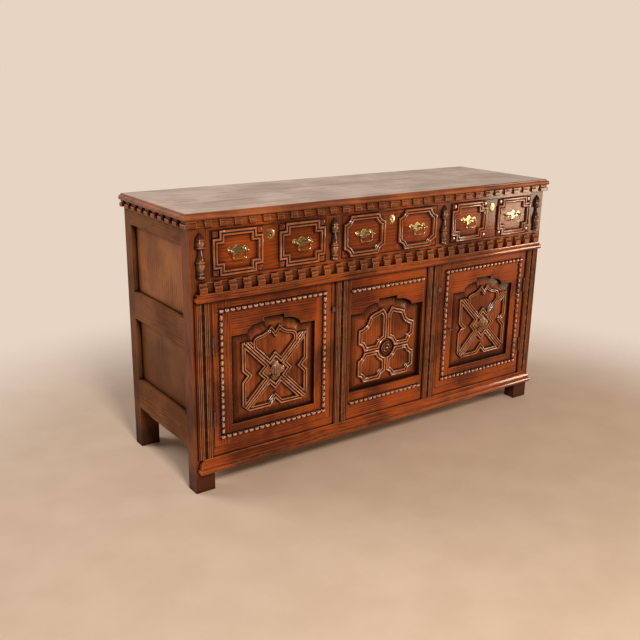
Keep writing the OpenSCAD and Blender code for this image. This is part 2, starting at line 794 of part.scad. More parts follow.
module centre_rail_tenons() {
    x1 = centre_x + centre_w;
    tenons_x(centre_x, x1, centre_z_shoulder, z_door1 - centre_z_shoulder, 0, rail_t, tenon_l / 2);
    tenons_x(centre_x, x1, z_door0, centre_z0 - z_door0, 0, rail_t, tenon_l / 2);
}

module centre_rails() color(oak) placed()
    difference() {
        union() {
            rail_x(centre_x, centre_x + centre_w, centre_z_shoulder, z_door1 - centre_z_shoulder, 0, rail_t,
                tenon_l / 2);
            rail_x(centre_x, centre_x + centre_w, z_door0, centre_z0 - z_door0, 0, rail_t, tenon_l / 2);
        }
        centre_at() translate([0, rail_t + 1, 0]) rotate([90, 0, 0]) linear_extrude(rail_t + 2)
            polygon(centre_opening);
        centre_groove();
    }

module centre_panel() color(oak) placed() {
    centre_groove();
    centre_at() lofted(inset(centre_opening, 0.3), centre_groove_y + 1, centre_field, centre_field_set);
}

// Four mitred cells and a flower boss. The left cells are drawn about the boss for a raised field of
// this half width and height, and are then fitted to the real field
centre_drawn_hw = 131;
centre_drawn_h = 275;
centre_upper_cell = [
    [-101, 1], [-35, 1], [-26, 11], [-11, 26], [-1, 35], [-1, 125], [-20, 151], [-40, 142], [-60, 137],
    [-78, 128], [-84, 114], [-92, 99], [-106, 89.5], [-127, 84], [-127, 31], [-119, 20], [-111, 12]
];
centre_lower_cell = [
    [-102, -114], [-27, -114], [-20, -102], [-12, -94], [-1, -88], [-1, -35], [-11, -26], [-26, -11], [-35, -1],
    [-101, -1], [-109, -12], [-117, -20], [-127, -28], [-127, -88], [-117, -94], [-109, -102]
];

module rosette(r, h) {
    rotate([90, 0, 0]) cylinder(h = 0.45 * h, r = r, $fn = 48);
    rotate([90, 0, 0]) rotate_extrude($fn = 48) translate([0.82 * r, 0.45 * h]) circle(r = 0.14 * r, $fn = 24);
    for (k = [0:5])
        rotate([0, 60 * k, 0]) translate([0, -0.27 * r, 0.45 * r]) sphere(r = 0.26 * r, $fn = 24);
    translate([0, -0.6 * h, 0]) sphere(r = 0.26 * r, $fn = 24);
}

module centre_mouldings() color(oak) placed() centre_at() translate([0, 0, centre_boss_z]) {
    across = (centre_hw - bevel_w) / centre_drawn_hw;
    up = centre_field_h / centre_drawn_h;
    k = min(across, up);
    for (drawn = [centre_upper_cell, centre_lower_cell]) {
        cell = fitted(drawn, across, up);
        mitred(cell, ridges(k * centre_mould_w, centre_mould_h), centre_field_set);
        mitred(mirrored(cell), ridges(k * centre_mould_w, centre_mould_h), centre_field_set);
    }
    translate([0, centre_field_set, 0]) rosette(k * centre_boss_r, centre_mould_h + 5);
}

module centre_beads() color(oak_dark) placed() {
    n = row_count(centre_w, bead_pitch);
    pitch = centre_w / n;
    for (z = [z_door1 - centre_bead_high, z_door0 + centre_bead_low])
        translate([centre_x + pitch / 2, 0, z]) half_turned_x(bead_row(n, pitch));
}

// Back, floor and drawer runners
module back_rails() color(oak_raw) placed()
    for (row = back_rows)
        rail_x(post_w, case_w - post_w, row[0], row[1], back_rail_y, back_rail_t, tenon_l / 2);

module back_boards() color(oak_raw) placed() {
    each_w = (inner_w - (back_boards_n - 1) * board_gap) / back_boards_n;
    for (i = [0:back_boards_n - 1])
        block(post_w + i * (each_w + board_gap), back_face, foot_h + 12,
            each_w, back_board_t, z_top0 - foot_h - 12);
}

// Floor boards run front to back on bearers; the end boards fill in between the posts
module floor_boards() color(oak_raw) placed() {
    each_w = (inner_w - (floor_boards_n - 1) * board_gap) / floor_boards_n;
    floor_z = z_door0 - floor_board_t;
    for (i = [0:floor_boards_n - 1])
        block(post_w + i * (each_w + board_gap), rail_t, floor_z, each_w, back_rail_y - rail_t, floor_board_t);
    for (y = [rail_t, back_rail_y - bearer])
        block(post_w, y, floor_z - bearer, inner_w, bearer, bearer);
    for (flip = [0, 1])
        mirror_if(flip) {
            block(side_rail_t, front_post_d, floor_z,
                post_w - side_rail_t - board_gap, side_len, floor_board_t);
            block(side_rail_t, front_post_d, floor_z - bearer, post_w - side_rail_t - 1, side_len, bearer);
        }
}

module runner(x0, w, guide_x, guide_w, guide_y0, guide_y1) {
    z1 = z_drawer0;
    block(x0, rail_t, z1 - runner_t, w, back_rail_y - rail_t, runner_t);
    block(guide_x, guide_y0, z1 - runner_t, guide_w, guide_y1 - guide_y0, runner_t + guide_h);
}

module drawer_runners() color(oak_raw) placed() {
    side_clear = 0.8;
    for (flip = [0, 1])
        mirror_if(flip)
            runner(post_w, runner_w + drawer_gap, side_rail_t, post_w - side_rail_t + drawer_gap - side_clear,
                front_post_d, case_d - rear_post_d);
    for (i = [0:1])
        runner(drawer_muntin_x(i) - runner_w, drawer_muntin_w + 2 * runner_w,
            drawer_muntin_x(i) - drawer_gap + side_clear, drawer_muntin_w + 2 * drawer_gap - 2 * side_clear,
            rail_t, back_rail_y);
}

// Drawers
drawer_w = drawer_open_w - 2 * drawer_gap;
drawer_z = z_drawer0 + run_gap;
drawer_front_z = z_drawer0 + drawer_low_gap;
drawer_front_h = z_drawer1 - drawer_top_gap - drawer_front_z;
drawer_mid_z = drawer_front_z + drawer_front_h / 2;

module drawer_at(i)
    placed() translate([drawer_x(i) + drawer_gap, 0, 0]) children();

module drawer_front(i) color(oak) drawer_at(i)
    difference() {
        block(0, 0, drawer_front_z, drawer_w, drawer_front_t, drawer_front_h);
        translate([drawer_w / 2, -1, drawer_mid_z + key_plate_up]) keyhole(drawer_front_t + 2);
    }

module drawer_box(i) color(oak_raw) drawer_at(i) {
    back_y = drawer_l - drawer_side_t;
    inside_w = drawer_w - 2 * drawer_side_t;
    for (x = [0, drawer_w - drawer_side_t])
        block(x, drawer_front_t, drawer_z, drawer_side_t, drawer_l - drawer_front_t, drawer_side_h);
    block(drawer_side_t, back_y, drawer_z, inside_w, drawer_side_t, drawer_side_h);
    block(drawer_side_t, drawer_front_t, drawer_z + 3, inside_w, back_y - drawer_front_t, drawer_bottom_t);
}

panel_frame_w = (drawer_w - panel_gap) / 2 - panel_margin;
function panel_centre(side) = side * (drawer_w / 2 - panel_margin - panel_frame_w / 2);
function eared(w, h, e) = [
    [e - w, -h], [w - e, -h], [w - e, e - h], [w, e - h], [w, h - e], [w - e, h - e], [w - e, h],
    [e - w, h], [e - w, h - e], [-w, h - e], [-w, e - h], [e - w, e - h]
];
function hollow_corner(x, z, r, a0) = [for (k = [0:3]) let (a = a0 - 30 * k) [x + r * cos(a), z + r * sin(a)]];
function hollowed(w, h, r) = concat(
    hollow_corner(w, -h, r, 180), hollow_corner(w, h, r, 270),
    hollow_corner(-w, h, r, 0), hollow_corner(-w, -h, r, 90));

module drawer_mouldings(i) color(oak) drawer_at(i) translate([drawer_w / 2, 0, drawer_mid_z]) {
    w = panel_frame_w / 2;
    h = drawer_front_h / 2 - 1.5;
    path = i == 1 ? hollowed(w, h, hollow_r) : eared(w, h, ear);
    for (side = [-1, 1])
        translate([panel_centre(side), 0, 0]) {
            mitred(path, ridges(drawer_mould_w, drawer_mould_h), 0);
            if (i != 1)
                for (x = [-1, 1], z = [-1, 1])
                    translate([x * (w - ear / 2), 0, z * (h - ear / 2)]) corner_block(ear - 2 * corner_gap);
        }
}

// Small raised block with chamfered edges, set in the corner of a side drawer panel
corner_gap = 1;
module corner_block(size) {
    outline = [[-size / 2, -size / 2], [size / 2, -size / 2], [size / 2, size / 2], [-size / 2, size / 2]];
    lofted(outline, 0, inset(outline, 0.14 * size), -0.6 * drawer_mould_h);
}

// Keyhole cut and oval key plate
module keyhole(depth) {
    rotate([-90, 0, 0]) cylinder(h = depth, r = 2.4, $fn = 32);
    block(-1.2, 0, -7, 2.4, depth, 7);
}

module oval_plate(w, h)
    rotate([90, 0, 0]) linear_extrude(plate_t)
        polygon([for (a = [0:15:345]) [w / 2 * cos(a), h / 2 * sin(a)]]);

// Shaped handle plate: right half of the outline, mirrored
plate_half = [
    [0, -15], [5, -16.5], [9, -14], [11, -9], [16, -6], [22, -8.5], [28, -6], [33, -1], [38, -2], [37, 5],
    [31, 10], [26, 14], [22, 9], [16, 6], [12, 10], [8, 13], [5, 16], [0, 19]
];

module handle_plate()
    rotate([90, 0, 0]) linear_extrude(plate_t) polygon(concat(plate_half, mirrored(plate_half)));

module handle_posts() {
    x = handle_span / 2;
    for (side = [-1, 1])
        difference() {
            union() {
                translate([side * x, 0, 0]) rotate([90, 0, 0]) cylinder(h = handle_reach, r = 2.3, $fn = 32);
                translate([side * x, -handle_reach, 0]) sphere(r = handle_head_r, $fn = 48);
            }
            translate([side * (x - handle_head_r - 1), -handle_reach, 0]) rotate([0, side * 90, 0])
                cylinder(h = handle_head_r + 1.5, r = pintle_r + 0.35, $fn = 32);
        }
}

module drawer_brasses(i) color(brass) drawer_at(i) translate([drawer_w / 2, 0, drawer_mid_z]) {
    for (side = [-1, 1])
        translate([panel_centre(side), 0, handle_up]) {
            handle_plate();
            handle_posts();
        }
    translate([0, 0, key_plate_up]) difference() {
        oval_plate(key_plate_w, key_plate_h);
        translate([0, -plate_t - 1, 0]) keyhole(plate_t + 2);
    }
}

function bail_half() =
    let (x = handle_span / 2 - handle_head_r - 0.4 - bail_r)
    [[x, 0.8], [x, -0.28 * bail_drop], [x + 1.6, -0.5 * bail_drop], [x + 1.4, -0.74 * bail_drop],
        [x - 1.5, -0.92 * bail_drop], [x - 6, -bail_drop], [x - 14, -0.96 * bail_drop]];

// Bails are numbered from left to right, two to a drawer
module bail(k) color(brass) {
    i = floor((k - 1) / 2);
    side = 2 * ((k - 1) % 2) - 1;
    half = bail_half();
    x = half[0][0];
    drawer_at(i)
        translate([drawer_w / 2 + panel_centre(side), -handle_reach, drawer_mid_z + handle_up]) {
            wire(concat(half, [for (p = backwards(half)) [-p[0], p[1]]]), bail_r, 8);
            translate([-x - bail_r - 2.6, 0, 0]) rotate([0, 90, 0])
                cylinder(h = 2 * (x + bail_r + 2.6), r = pintle_r, $fn = 32);
        }
}

// Doors: frame, panel, mouldings and beads, drawn for the left door about its own lower left corner
door_z0 = door_low_rail_h;
door_z_shoulder = door_h - door_shoulder_h;
door_z_crown = door_z_shoulder + door_arch_rise;
door_z_arc = door_z_crown - arch_step;
door_opening = arch(door_hw, door_z0, door_z_shoulder, door_z_arc, door_z_crown, arch_shoulder_w, arch_flat);
door_field_z0 = door_z0 + bevel_w;
door_field_h = door_z_crown - 0.735 * bevel_w - door_field_z0;
door_field = arch(door_hw - bevel_w, door_field_z0, door_z_shoulder - bevel_w, door_z_arc - 0.82 * bevel_w,
    door_field_z0 + door_field_h, arch_shoulder_w - 0.62 * bevel_w, arch_flat - 0.235 * bevel_w);

module door_mid() translate([door_w / 2, 0, 0]) children();

module door_groove()
    door_mid() translate([0, door_groove_y + panel_tongue_t, 0]) rotate([90, 0, 0])
        linear_extrude(panel_tongue_t) polygon(inset(door_opening, -groove_d));

module door_tenons(z0, h)
    block(door_stile_w - tenon_l, door_groove_y - 1, z0 + tenon_shoulder,
        door_w - 2 * door_stile_w + 2 * tenon_l, panel_tongue_t + 2, h - 2 * tenon_shoulder);

module door_frame_solid() {
    rows = [[0, door_low_rail_h], [door_z_shoulder, door_h - door_z_shoulder]];
    for (x = [0, door_w - door_stile_w])
        difference() {
            block(x, 0, 0, door_stile_w, door_t, door_h);
            for (row = rows) door_tenons(row[0], row[1]);
            door_groove();
            translate([door_w - keyhole_in, -1, keyhole_up]) rotate([-90, 0, 0])
                cylinder(h = door_t + 2, r = key_hole_r, $fn = 32);
        }
    difference() {
        union()
            for (row = rows) {
                block(door_stile_w, 0, row[0], door_w - 2 * door_stile_w, door_t, row[1]);
                door_tenons(row[0], row[1]);
            }
        door_mid() translate([0, door_t + 1, 0]) rotate([90, 0, 0]) linear_extrude(door_t + 2)
            polygon(door_opening);
        door_groove();
    }
}

module door_panel_solid() {
    door_groove();
    door_mid() lofted(inset(door_opening, 0.3), door_groove_y + 1, door_field, door_field_set);
}

// Cells between the arms of the cross, drawn about the boss for a raised field of this half width and
// height: w is the half width and h the lower reach of the design. They are then fitted to the real field
door_drawn_hw = 125;
door_drawn_h = 282;
door_drawn_w = 125.5;
door_drawn_low = 122;
arm_in = 22;
arm_gap = 0.6;
arm_cut = 27;
upper_in = 83;
function arm_end(w, h) = [w - 14.5, h - 10];
function on_arm(t, w, h, off) =
    let (e = arm_end(w, h) - [arm_in, arm_in])
    [arm_in, arm_in] + t * e + off * [-e[1], e[0]] / norm(e);
function share(a, b, v) = (v - a) / (b - a);
function arm_x(w, h, x, off) = share(on_arm(0, w, h, off)[0], on_arm(1, w, h, off)[0], x);
function arm_z(w, h, z, off) = share(on_arm(0, w, h, off)[1], on_arm(1, w, h, off)[1], z);
function flip_x(p) = [-p[0], p[1]];
function flip_z(p) = [p[0], -p[1]];

function side_cell(w, h) =
    let (inner = on_arm(0, w, h, -arm_gap), outer = on_arm(arm_x(w, h, w, -arm_gap), w, h, -arm_gap))
    [-outer, -inner, [-44, 0], flip_x(inner), flip_x(outer), [-w, 19], [19 - w, 0], [-w, -19]];

function lower_cell(w, h) =
    let (inner = on_arm(0, w, h, arm_gap), outer = on_arm(arm_z(w, h, h, arm_gap), w, h, arm_gap))
    [-outer, [-20, -h], [0, 22 - h], [20, -h], flip_z(outer), flip_z(inner), [0, -44], -inner];

function upper_half(w, h) =
    [[0, 44], on_arm(0, w, h, arm_gap), on_arm(arm_x(w, h, upper_in, arm_gap), w, h, arm_gap),
        [upper_in, 106], [upper_in - 2, 118], [70, 126], [45, 131], [28, 140], [15, 155], [0, 134]];
function upper_cell(w, h) =
    let (half = upper_half(w, h)) concat(half, [for (i = [len(half) - 2:-1:1]) flip_x(half[i])]);
function upper_shares(n, narrow) = [for (i = [0:n - 1]) i < 2 || i > n - 3 ? 1 : narrow];

// Outline that saws off the outer ends of the arms
function cut_half(w, h) =
    [[w - arm_cut, -h - 1], [w + 1, arm_cut - 3.5 - h], [w + 1, h - arm_cut + 3.5], [20, 194]];

module door_mouldings_solid() {
    w = door_drawn_w;
    h = door_drawn_low;
    across = (door_hw - bevel_w) / door_drawn_hw;
    up = door_field_h / door_drawn_h;
    k = min(across, up);
    section = ridges(k * door_mould_w, door_mould_h);
    upper = fitted(upper_cell(w, h), across, up);
    side = fitted(side_cell(w, h), across, up);
    cut = fitted(cut_half(w, h), across, up);
    door_mid() translate([0, 0, door_field_z0 + door_boss_share * door_field_h]) {
        intersection() {
            union() {
                mitred(side, section, door_field_set);
                mitred(mirrored(side), section, door_field_set);
                mitred(fitted(lower_cell(w, h), across, up), section, door_field_set);
            }
            translate([0, 10, 0]) rotate([90, 0, 0]) linear_extrude(30)
                polygon(concat(cut, mirrored(cut)));
        }
        mitred(upper, section, door_field_set, upper_shares(len(upper), door_arch_mould_w / door_mould_w));
        boss(k);
    }
}

// Carved boss: four pointed leaves round an upright bud, which is turned and split like the spindles
bud_section = [
    [0, 0], [0.36, 0.02], [0.62, 0.1], [0.7, 0.17], [0.6, 0.23], [0.84, 0.3], [1, 0.42], [0.98, 0.55],
    [0.8, 0.7], [0.5, 0.85], [0.2, 0.96], [0, 1]
];

module boss(k) {
    long = boss_leaf_l * k;
    short = 0.45 * long;
    bud_l = boss_bud_l * k;
    top_y = -0.7 * door_mould_h;
    star = [for (i = [0:7]) let (a = 45 * i, r = i % 2 == 0 ? long : short) [r * cos(a), r * sin(a)]];
    lofted(star, door_field_set, [for (p = star) p * 0.5], top_y);
    translate([0, top_y, -0.42 * bud_l])
        half_turned([for (p = bud_section) [p[0] * 0.34 * bud_l, p[1] * bud_l]]);
}

module door_beads_solid() {
    nx = row_count(door_w - 2 * bead_in_x, bead_pitch);
    nz = row_count(door_h - 2 * bead_in_z, bead_pitch);
    px = (door_w - 2 * bead_in_x) / nx;
    pz = (door_h - 2 * bead_in_z) / nz;
    for (z = [bead_in_z, door_h - bead_in_z])
        translate([bead_in_x, 0, z]) half_turned_x(bead_row(nx + 1, px));
    for (x = [bead_in_x, door_w - bead_in_x])
        translate([x, 0, bead_in_z + pz]) half_turned(bead_row(nz - 1, pz));
}

module door_side(flip)
    placed() mirror_if(flip) translate([door_x, 0, door_z]) children();

// Hinges: two outer knuckles and the pin stay on the post, the middle knuckle is on the door
hinge_z = [hinge_low, door_h - hinge_high];
knuckle_gap = 0.4;
knuckle_h = hinge_h / 3;

module knuckle(z0, h)
    translate([axis_x, axis_y, z0]) cylinder(h = h, r = knuckle_r, $fn = 32);

module post_hinge(z) {
    z0 = z - hinge_h / 2;
    block(post_w, 0.2, z0, leaf_t, leaf_d, hinge_h);
    for (dz = [0, hinge_h - knuckle_h + knuckle_gap]) {
        knuckle(z0 + dz, knuckle_h - knuckle_gap);
        block(post_w, axis_y, z0 + dz, leaf_t, 1 - axis_y, knuckle_h - knuckle_gap);
    }
    translate([axis_x, axis_y, z0]) cylinder(h = hinge_h, r = hinge_pin_r, $fn = 32);
}

module door_hinge(z) {
    z0 = z - hinge_h / 2;
    x0 = door_x - leaf_t;
    difference() {
        union() {
            block(x0, 0.2, z0, leaf_t, leaf_d, hinge_h);
            knuckle(z0 + knuckle_h, knuckle_h);
            block(x0, axis_y, z0 + knuckle_h, leaf_t, 1 - axis_y, knuckle_h);
        }
        translate([axis_x, axis_y, z0 - 1]) cylinder(h = hinge_h + 2, r = hinge_pin_r + fit_gap, $fn = 32);
    }
}

module post_hinges() color(iron) placed()
    for (flip = [0, 1])
        mirror_if(flip)
            for (z = hinge_z) post_hinge(door_z + z);

// Lock case on the inner face of the door, bored for the key
module lock_case()
    difference() {
        block(door_x + door_w - lock_w, door_t, door_z + keyhole_up - lock_h / 2, lock_w - 3, lock_t, lock_h);
        translate([door_x + door_w - keyhole_in, door_t - 1, door_z + keyhole_up]) rotate([-90, 0, 0])
            cylinder(h = lock_t - 3, r = key_hole_r, $fn = 32);
    }

module door_iron(flip) color(iron) placed()
    mirror_if(flip) {
        for (z = hinge_z) door_hinge(door_z + z);
        lock_case();
    }

// Turn buttons on the muntins beside the doors
button_clear = 0.4;
module turn_button(flip) color(iron) placed() mirror_if(flip)
    translate([button_x, 0, button_z]) {
        translate([0, -button_clear, 0]) rotate([90, 0, 0]) linear_extrude(button_t) {
            circle(r = button_r, $fn = 32);
            translate([0, button_l - 0.8 * button_r]) circle(r = 0.8 * button_r, $fn = 32);
        }
        translate([0, -button_clear - button_t + 0.5, 0]) sphere(r = 3.6, $fn = 32);
        translate([0, -button_clear - 1, 0]) rotate([-90, 0, 0]) cylinder(h = 12, r = button_pin_r, $fn = 32);
    }

// Key in the lock of the right door
module key() color(iron) placed() flipped()
    translate([door_x + door_w - keyhole_in, 0, door_z + keyhole_up]) {
        translate([0, door_t + lock_t - 6, 0]) rotate([90, 0, 0])
            cylinder(h = door_t + lock_t - 6 + key_out - 2 * key_bow_r - 1, r = key_r, $fn = 32);
        translate([0, -4, 0]) rotate([90, 0, 0]) cylinder(h = 2, r = 3.4, $fn = 32);
        translate([0, -key_out + key_bow_r + key_ring_r, 0]) rotate_extrude($fn = 48)
            translate([key_bow_r, 0]) circle(r = key_ring_r, $fn = 24);
    }

module drawer_front_left() drawer_front(0);
module drawer_front_centre() drawer_front(1);
module drawer_front_right() drawer_front(2);
module drawer_box_left() drawer_box(0);
module drawer_box_centre() drawer_box(1);
module drawer_box_right() drawer_box(2);
module drawer_mouldings_left() drawer_mouldings(0);
module drawer_mouldings_centre() drawer_mouldings(1);
module drawer_mouldings_right() drawer_mouldings(2);
module drawer_brasses_left() drawer_brasses(0);
module drawer_brasses_centre() drawer_brasses(1);
module drawer_brasses_right() drawer_brasses(2);
module door_frame_left() color(oak) door_side(0) door_frame_solid();
module door_frame_right() color(oak) door_side(1) door_frame_solid();
module door_panel_left() color(oak) door_side(0) door_panel_solid();
module door_panel_right() color(oak) door_side(1) door_panel_solid();
module door_mouldings_left() color(oak) door_side(0) door_mouldings_solid();
module door_mouldings_right() color(oak) door_side(1) door_mouldings_solid();
module door_beads_left() color(oak_dark) door_side(0) door_beads_solid();
module door_beads_right() color(oak_dark) door_side(1) door_beads_solid();
module door_iron_left() door_iron(0);
module door_iron_right() door_iron(1);
module turn_button_left() turn_button(0);
module turn_button_right() turn_button(1);

top_boards();
front_post_left();
front_post_right();
rear_post_left();
rear_post_right();
side_rails_left();
side_rails_right();
side_panels_left();
side_panels_right();
front_top_rail();
front_middle_rail();
front_bottom_rail();
drawer_muntins();
door_muntins();
cornice();
dentil_band();
waist_lip();
base_moulding();
split_spindles();
reeded_strips();
centre_rails();
centre_panel();
centre_mouldings();
centre_beads();
back_rails();
back_boards();
floor_boards();
drawer_runners();
post_hinges();
drawer_front_left();
drawer_front_centre();
drawer_front_right();
drawer_box_left();
drawer_box_centre();
drawer_box_right();
drawer_mouldings_left();
drawer_mouldings_centre();
drawer_mouldings_right();
drawer_brasses_left();
drawer_brasses_centre();
drawer_brasses_right();
bail(1);  // bail_1
bail(2);  // bail_2
bail(3);  // bail_3
bail(4);  // bail_4
bail(5);  // bail_5
bail(6);  // bail_6
door_frame_left();
door_frame_right();
door_panel_left();
door_panel_right();
door_mouldings_left();
door_mouldings_right();
door_beads_left();
door_beads_right();
door_iron_left();
door_iron_right();
turn_button_left();
turn_button_right();
key();
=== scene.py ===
# %% [markdown]
# # A joined oak dresser base
# The frame from CAD gives every rail, post, drawer and door in its true place. This file dresses it:
# polished oak with a grain that runs along each piece, turned and carved ornament with smooth curves,
# and aged brass. Each step says what the piece is on the real thing and why it is made this way.

# %% Tools and the CAD frame
import math

import bmesh
import bpy
import numpy as np
from mathutils import Euler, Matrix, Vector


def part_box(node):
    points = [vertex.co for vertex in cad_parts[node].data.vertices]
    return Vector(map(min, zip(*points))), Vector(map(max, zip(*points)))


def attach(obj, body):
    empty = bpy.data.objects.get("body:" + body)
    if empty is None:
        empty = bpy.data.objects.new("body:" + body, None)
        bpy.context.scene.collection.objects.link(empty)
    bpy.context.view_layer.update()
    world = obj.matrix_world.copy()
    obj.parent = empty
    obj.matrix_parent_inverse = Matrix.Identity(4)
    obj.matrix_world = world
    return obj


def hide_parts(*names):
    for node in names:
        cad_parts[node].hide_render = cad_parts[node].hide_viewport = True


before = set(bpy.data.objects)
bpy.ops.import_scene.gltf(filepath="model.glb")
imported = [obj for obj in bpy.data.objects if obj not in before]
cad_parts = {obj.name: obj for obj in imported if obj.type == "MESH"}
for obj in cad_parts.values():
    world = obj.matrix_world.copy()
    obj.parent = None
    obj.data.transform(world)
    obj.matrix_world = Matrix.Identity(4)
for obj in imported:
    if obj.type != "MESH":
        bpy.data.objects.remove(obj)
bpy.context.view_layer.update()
bpy.context.scene.view_settings.view_transform = "Standard"

# %% [markdown]
# Sizes are written in millimetres, as a joiner would, counted from the left end of the case, from its
# front face backwards and from the floor up. DOOR_HW is half the width of the opening in a door's frame.
# One function turns them into the frame's metres, and another reads a CAD piece's box in the same count.

# %% Sizes of the case, in millimetres
CASE_W, FACE_Y = 1532.0, -221.0
POST_W = 68.0
DRAWER_OPEN_W, DRAWER_MUNTIN_W, DRAWER_GAP = 424.0, 62.0, 2.4
DOOR_OPEN_W, DOOR_MUNTIN_W = 452.0, 81.0
DOOR_X, DOOR_Z, DOOR_W, DOOR_H = 71.0, 144.0, 446.0, 480.0
DOOR_HW = 159.0
SIDES = ("left", "centre", "right")


def metres(points):
    """Millimetres in the case's own count to metres in the frame: x less half the case's width, and y plus
    the place of its face."""
    return (np.asarray(points, float) - [CASE_W / 2, -FACE_Y, 0]) / 1000


def box_mm(node):
    """Lowest and highest corner of a CAD node in the case's own millimetres."""
    return [np.array(corner) * 1000 + [CASE_W / 2, -FACE_Y, 0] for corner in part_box(node)]


print("left door by its CAD box:", *[corner.round(1) for corner in box_mm("door_frame_left")])

# %% [markdown]
# ## Camera
# The camera stands where the photographer's stood: a bit above the top, at the left front corner, with a
# lens of moderate length. Its place and turn were fitted to the edges of the case in the photograph.

# %% Camera at the photograph's viewing angle
CAMERA_AT = (-1.84407, -2.39480, 1.32378)
CAMERA_TURN = (1.2725290, -0.0146644, -0.6151717)
LENS_MM, SENSOR_MM = 47.2766, 36

camera_data = bpy.data.cameras.new("camera")
camera_data.sensor_width = SENSOR_MM
camera_data.lens = LENS_MM
camera = bpy.data.objects.new("camera", camera_data)
camera.location = CAMERA_AT
camera.rotation_euler = Euler(CAMERA_TURN)
bpy.context.scene.collection.objects.link(camera)
bpy.context.scene.camera = camera
print("camera at", CAMERA_AT, "lens", LENS_MM)

# %% [markdown]
# ## Shader maths in plain Python
# A finish is a network of nodes. It could be drawn by hand in the node editor, but then nobody could read
# it here. Writing it as arithmetic keeps it readable: a Signal is one socket's output, and + - * on it
# add Math nodes. Every other node goes through one method, node(). Sockets go by their names, or by number
# where a node has one name several times, as the maths nodes and the colour mix have.


# %% Signals
class Signal:
    """One output of a node; arithmetic on it adds Math nodes to the same finish."""

    def __init__(self, finish, socket):
        self.finish = finish
        self.socket = socket

    def maths(self, operation, *values):
        """One Math node with this signal first."""
        inputs = dict(enumerate((self,) + values))
        return self.finish.node("Math", {"operation": operation}, inputs)

    def __add__(self, other):
        return self.maths("ADD", other)

    def __mul__(self, other):
        return self.maths("MULTIPLY", other)

    def __sub__(self, other):
        return self.maths("SUBTRACT", other)

    def __rsub__(self, other):
        return self.finish.node("Math", {"operation": "SUBTRACT"}, {0: other, 1: self})

    def ramp(self, low, high, to_low=0.0, to_high=1.0):
        """Smooth step from to_low at low to to_high at high: the node's first five sockets in order."""
        return self.finish.node("MapRange", {"interpolation_type": "SMOOTHSTEP"},
                                {0: self, 1: low, 2: high, 3: to_low, 4: to_high})


# %% Finishes
MIX_A, MIX_B, MIX_RESULT = 6, 7, 2


class Finish:
    """A material under construction; also used for the world's nodes."""

    def __init__(self, name, tree=None):
        if tree is None:
            self.material = bpy.data.materials.new(name)
            self.material.use_nodes = True
            tree = self.material.node_tree
        self.tree = tree
        self.tree.nodes.clear()

    def node(self, kind, settings=None, inputs=None, output=0):
        """Adds a node, first its settings, then the values or links of its sockets, and gives one output."""
        made = self.tree.nodes.new("ShaderNode" + kind)
        for key, value in (settings or {}).items():
            setattr(made, key, value)
        for key, value in (inputs or {}).items():
            if isinstance(value, Signal):
                self.tree.links.new(value.socket, made.inputs[key])
            else:
                made.inputs[key].default_value = value
        return Signal(self, made.outputs[output]) if len(made.outputs) else None

    def mix(self, share, a, b):
        """Colour a where share is 0 and b where it is 1."""
        a, b = [c if isinstance(c, Signal) else (*c, 1.0) for c in (a, b)]
        return self.node("Mix", {"data_type": "RGBA"}, {0: share, MIX_A: a, MIX_B: b}, output=MIX_RESULT)

    def place(self):
        """Object coordinates, and the same as three numbers."""
        at = self.node("TexCoord", output="Object")
        return at, [self.node("SeparateXYZ", None, {"Vector": at}, output=axis) for axis in "XYZ"]

    def combine(self, x, y, z):
        """Vector of three numbers."""
        return self.node("CombineXYZ", None, {"X": x, "Y": y, "Z": z})

    def scaled(self, vector, scale):
        """Vector times a number."""
        return self.node("VectorMath", {"operation": "SCALE"}, {0: vector, "Scale": scale})

    def noise(self, vector, detail=3.0, roughness=0.55):
        """Soft noise from 0 to 1, one wave long for each unit of the vector."""
        return self.node("TexNoise", None, {"Vector": vector, "Scale": 1.0, "Detail": detail,
                                            "Roughness": roughness})

    def openness(self, distance):
        """1 where nothing stands within the distance of the surface, and 0 in a deep hollow."""
        return self.node("AmbientOcclusion", {"samples": 8}, {"Distance": distance}, output="AO")

    def rounded(self, radius):
        """Normal of the surface with its edges rounded by the radius."""
        return self.node("Bevel", {"samples": 4}, {"Radius": radius})

    def bump(self, strength, distance, height, **normal):
        """Normal tilted by a height that stands for so many metres."""
        return self.node("Bump", None, {"Strength": strength, "Distance": distance, "Height": height,
                                        **normal})

    def surface(self, colour, roughness, normal, **others):
        """Principled surface: colour, roughness, normal, and any other socket by its name."""
        shader = self.node("BsdfPrincipled", None, {"Base Color": colour, "Roughness": roughness,
                                                    "Normal": normal, **others})
        self.node("OutputMaterial", None, {"Surface": shader})
        return self.material


# %% [markdown]
# ## Oak
# Oak shows broad figure from its growth rings, fine dark pores that run with the grain, and after some
# hundreds of years a dark film of wax and dust in every hollow and a paler, rubbed look on every edge.
# The rings are circles round a line that stands for the heart of the tree, cut lengthwise by each board,
# so the figure comes out as long arches. A picture of oak could be laid over each board instead, but it
# would repeat, and it would stop at every edge. Ambient occlusion finds the hollows, and a rounded normal
# finds the edges: the hollows are painted darker, old wax and painted shade together, and the edges paler,
# wear and a painted highlight together. On carved and moulded work the height above the face says it
# better: what stands highest, which hands and cloths have rubbed, is painted paler as wear and as a painted
# highlight, and what is lower, where the wax lies, is painted darker as wax and as painted shade.
#
# The grain first. Its waves are counts per metre, along the grain and across it, or all ways alike.

# %% Grain of oak
WOBBLE_WAVES, STREAK_WAVES, PORE_WAVES, PATCH_WAVES = (2.4, 9.0), (3.5, 85.0), (18.0, 520.0), 5.5
HEART_LEAN, HEART_WOBBLE = 0.04, 0.05


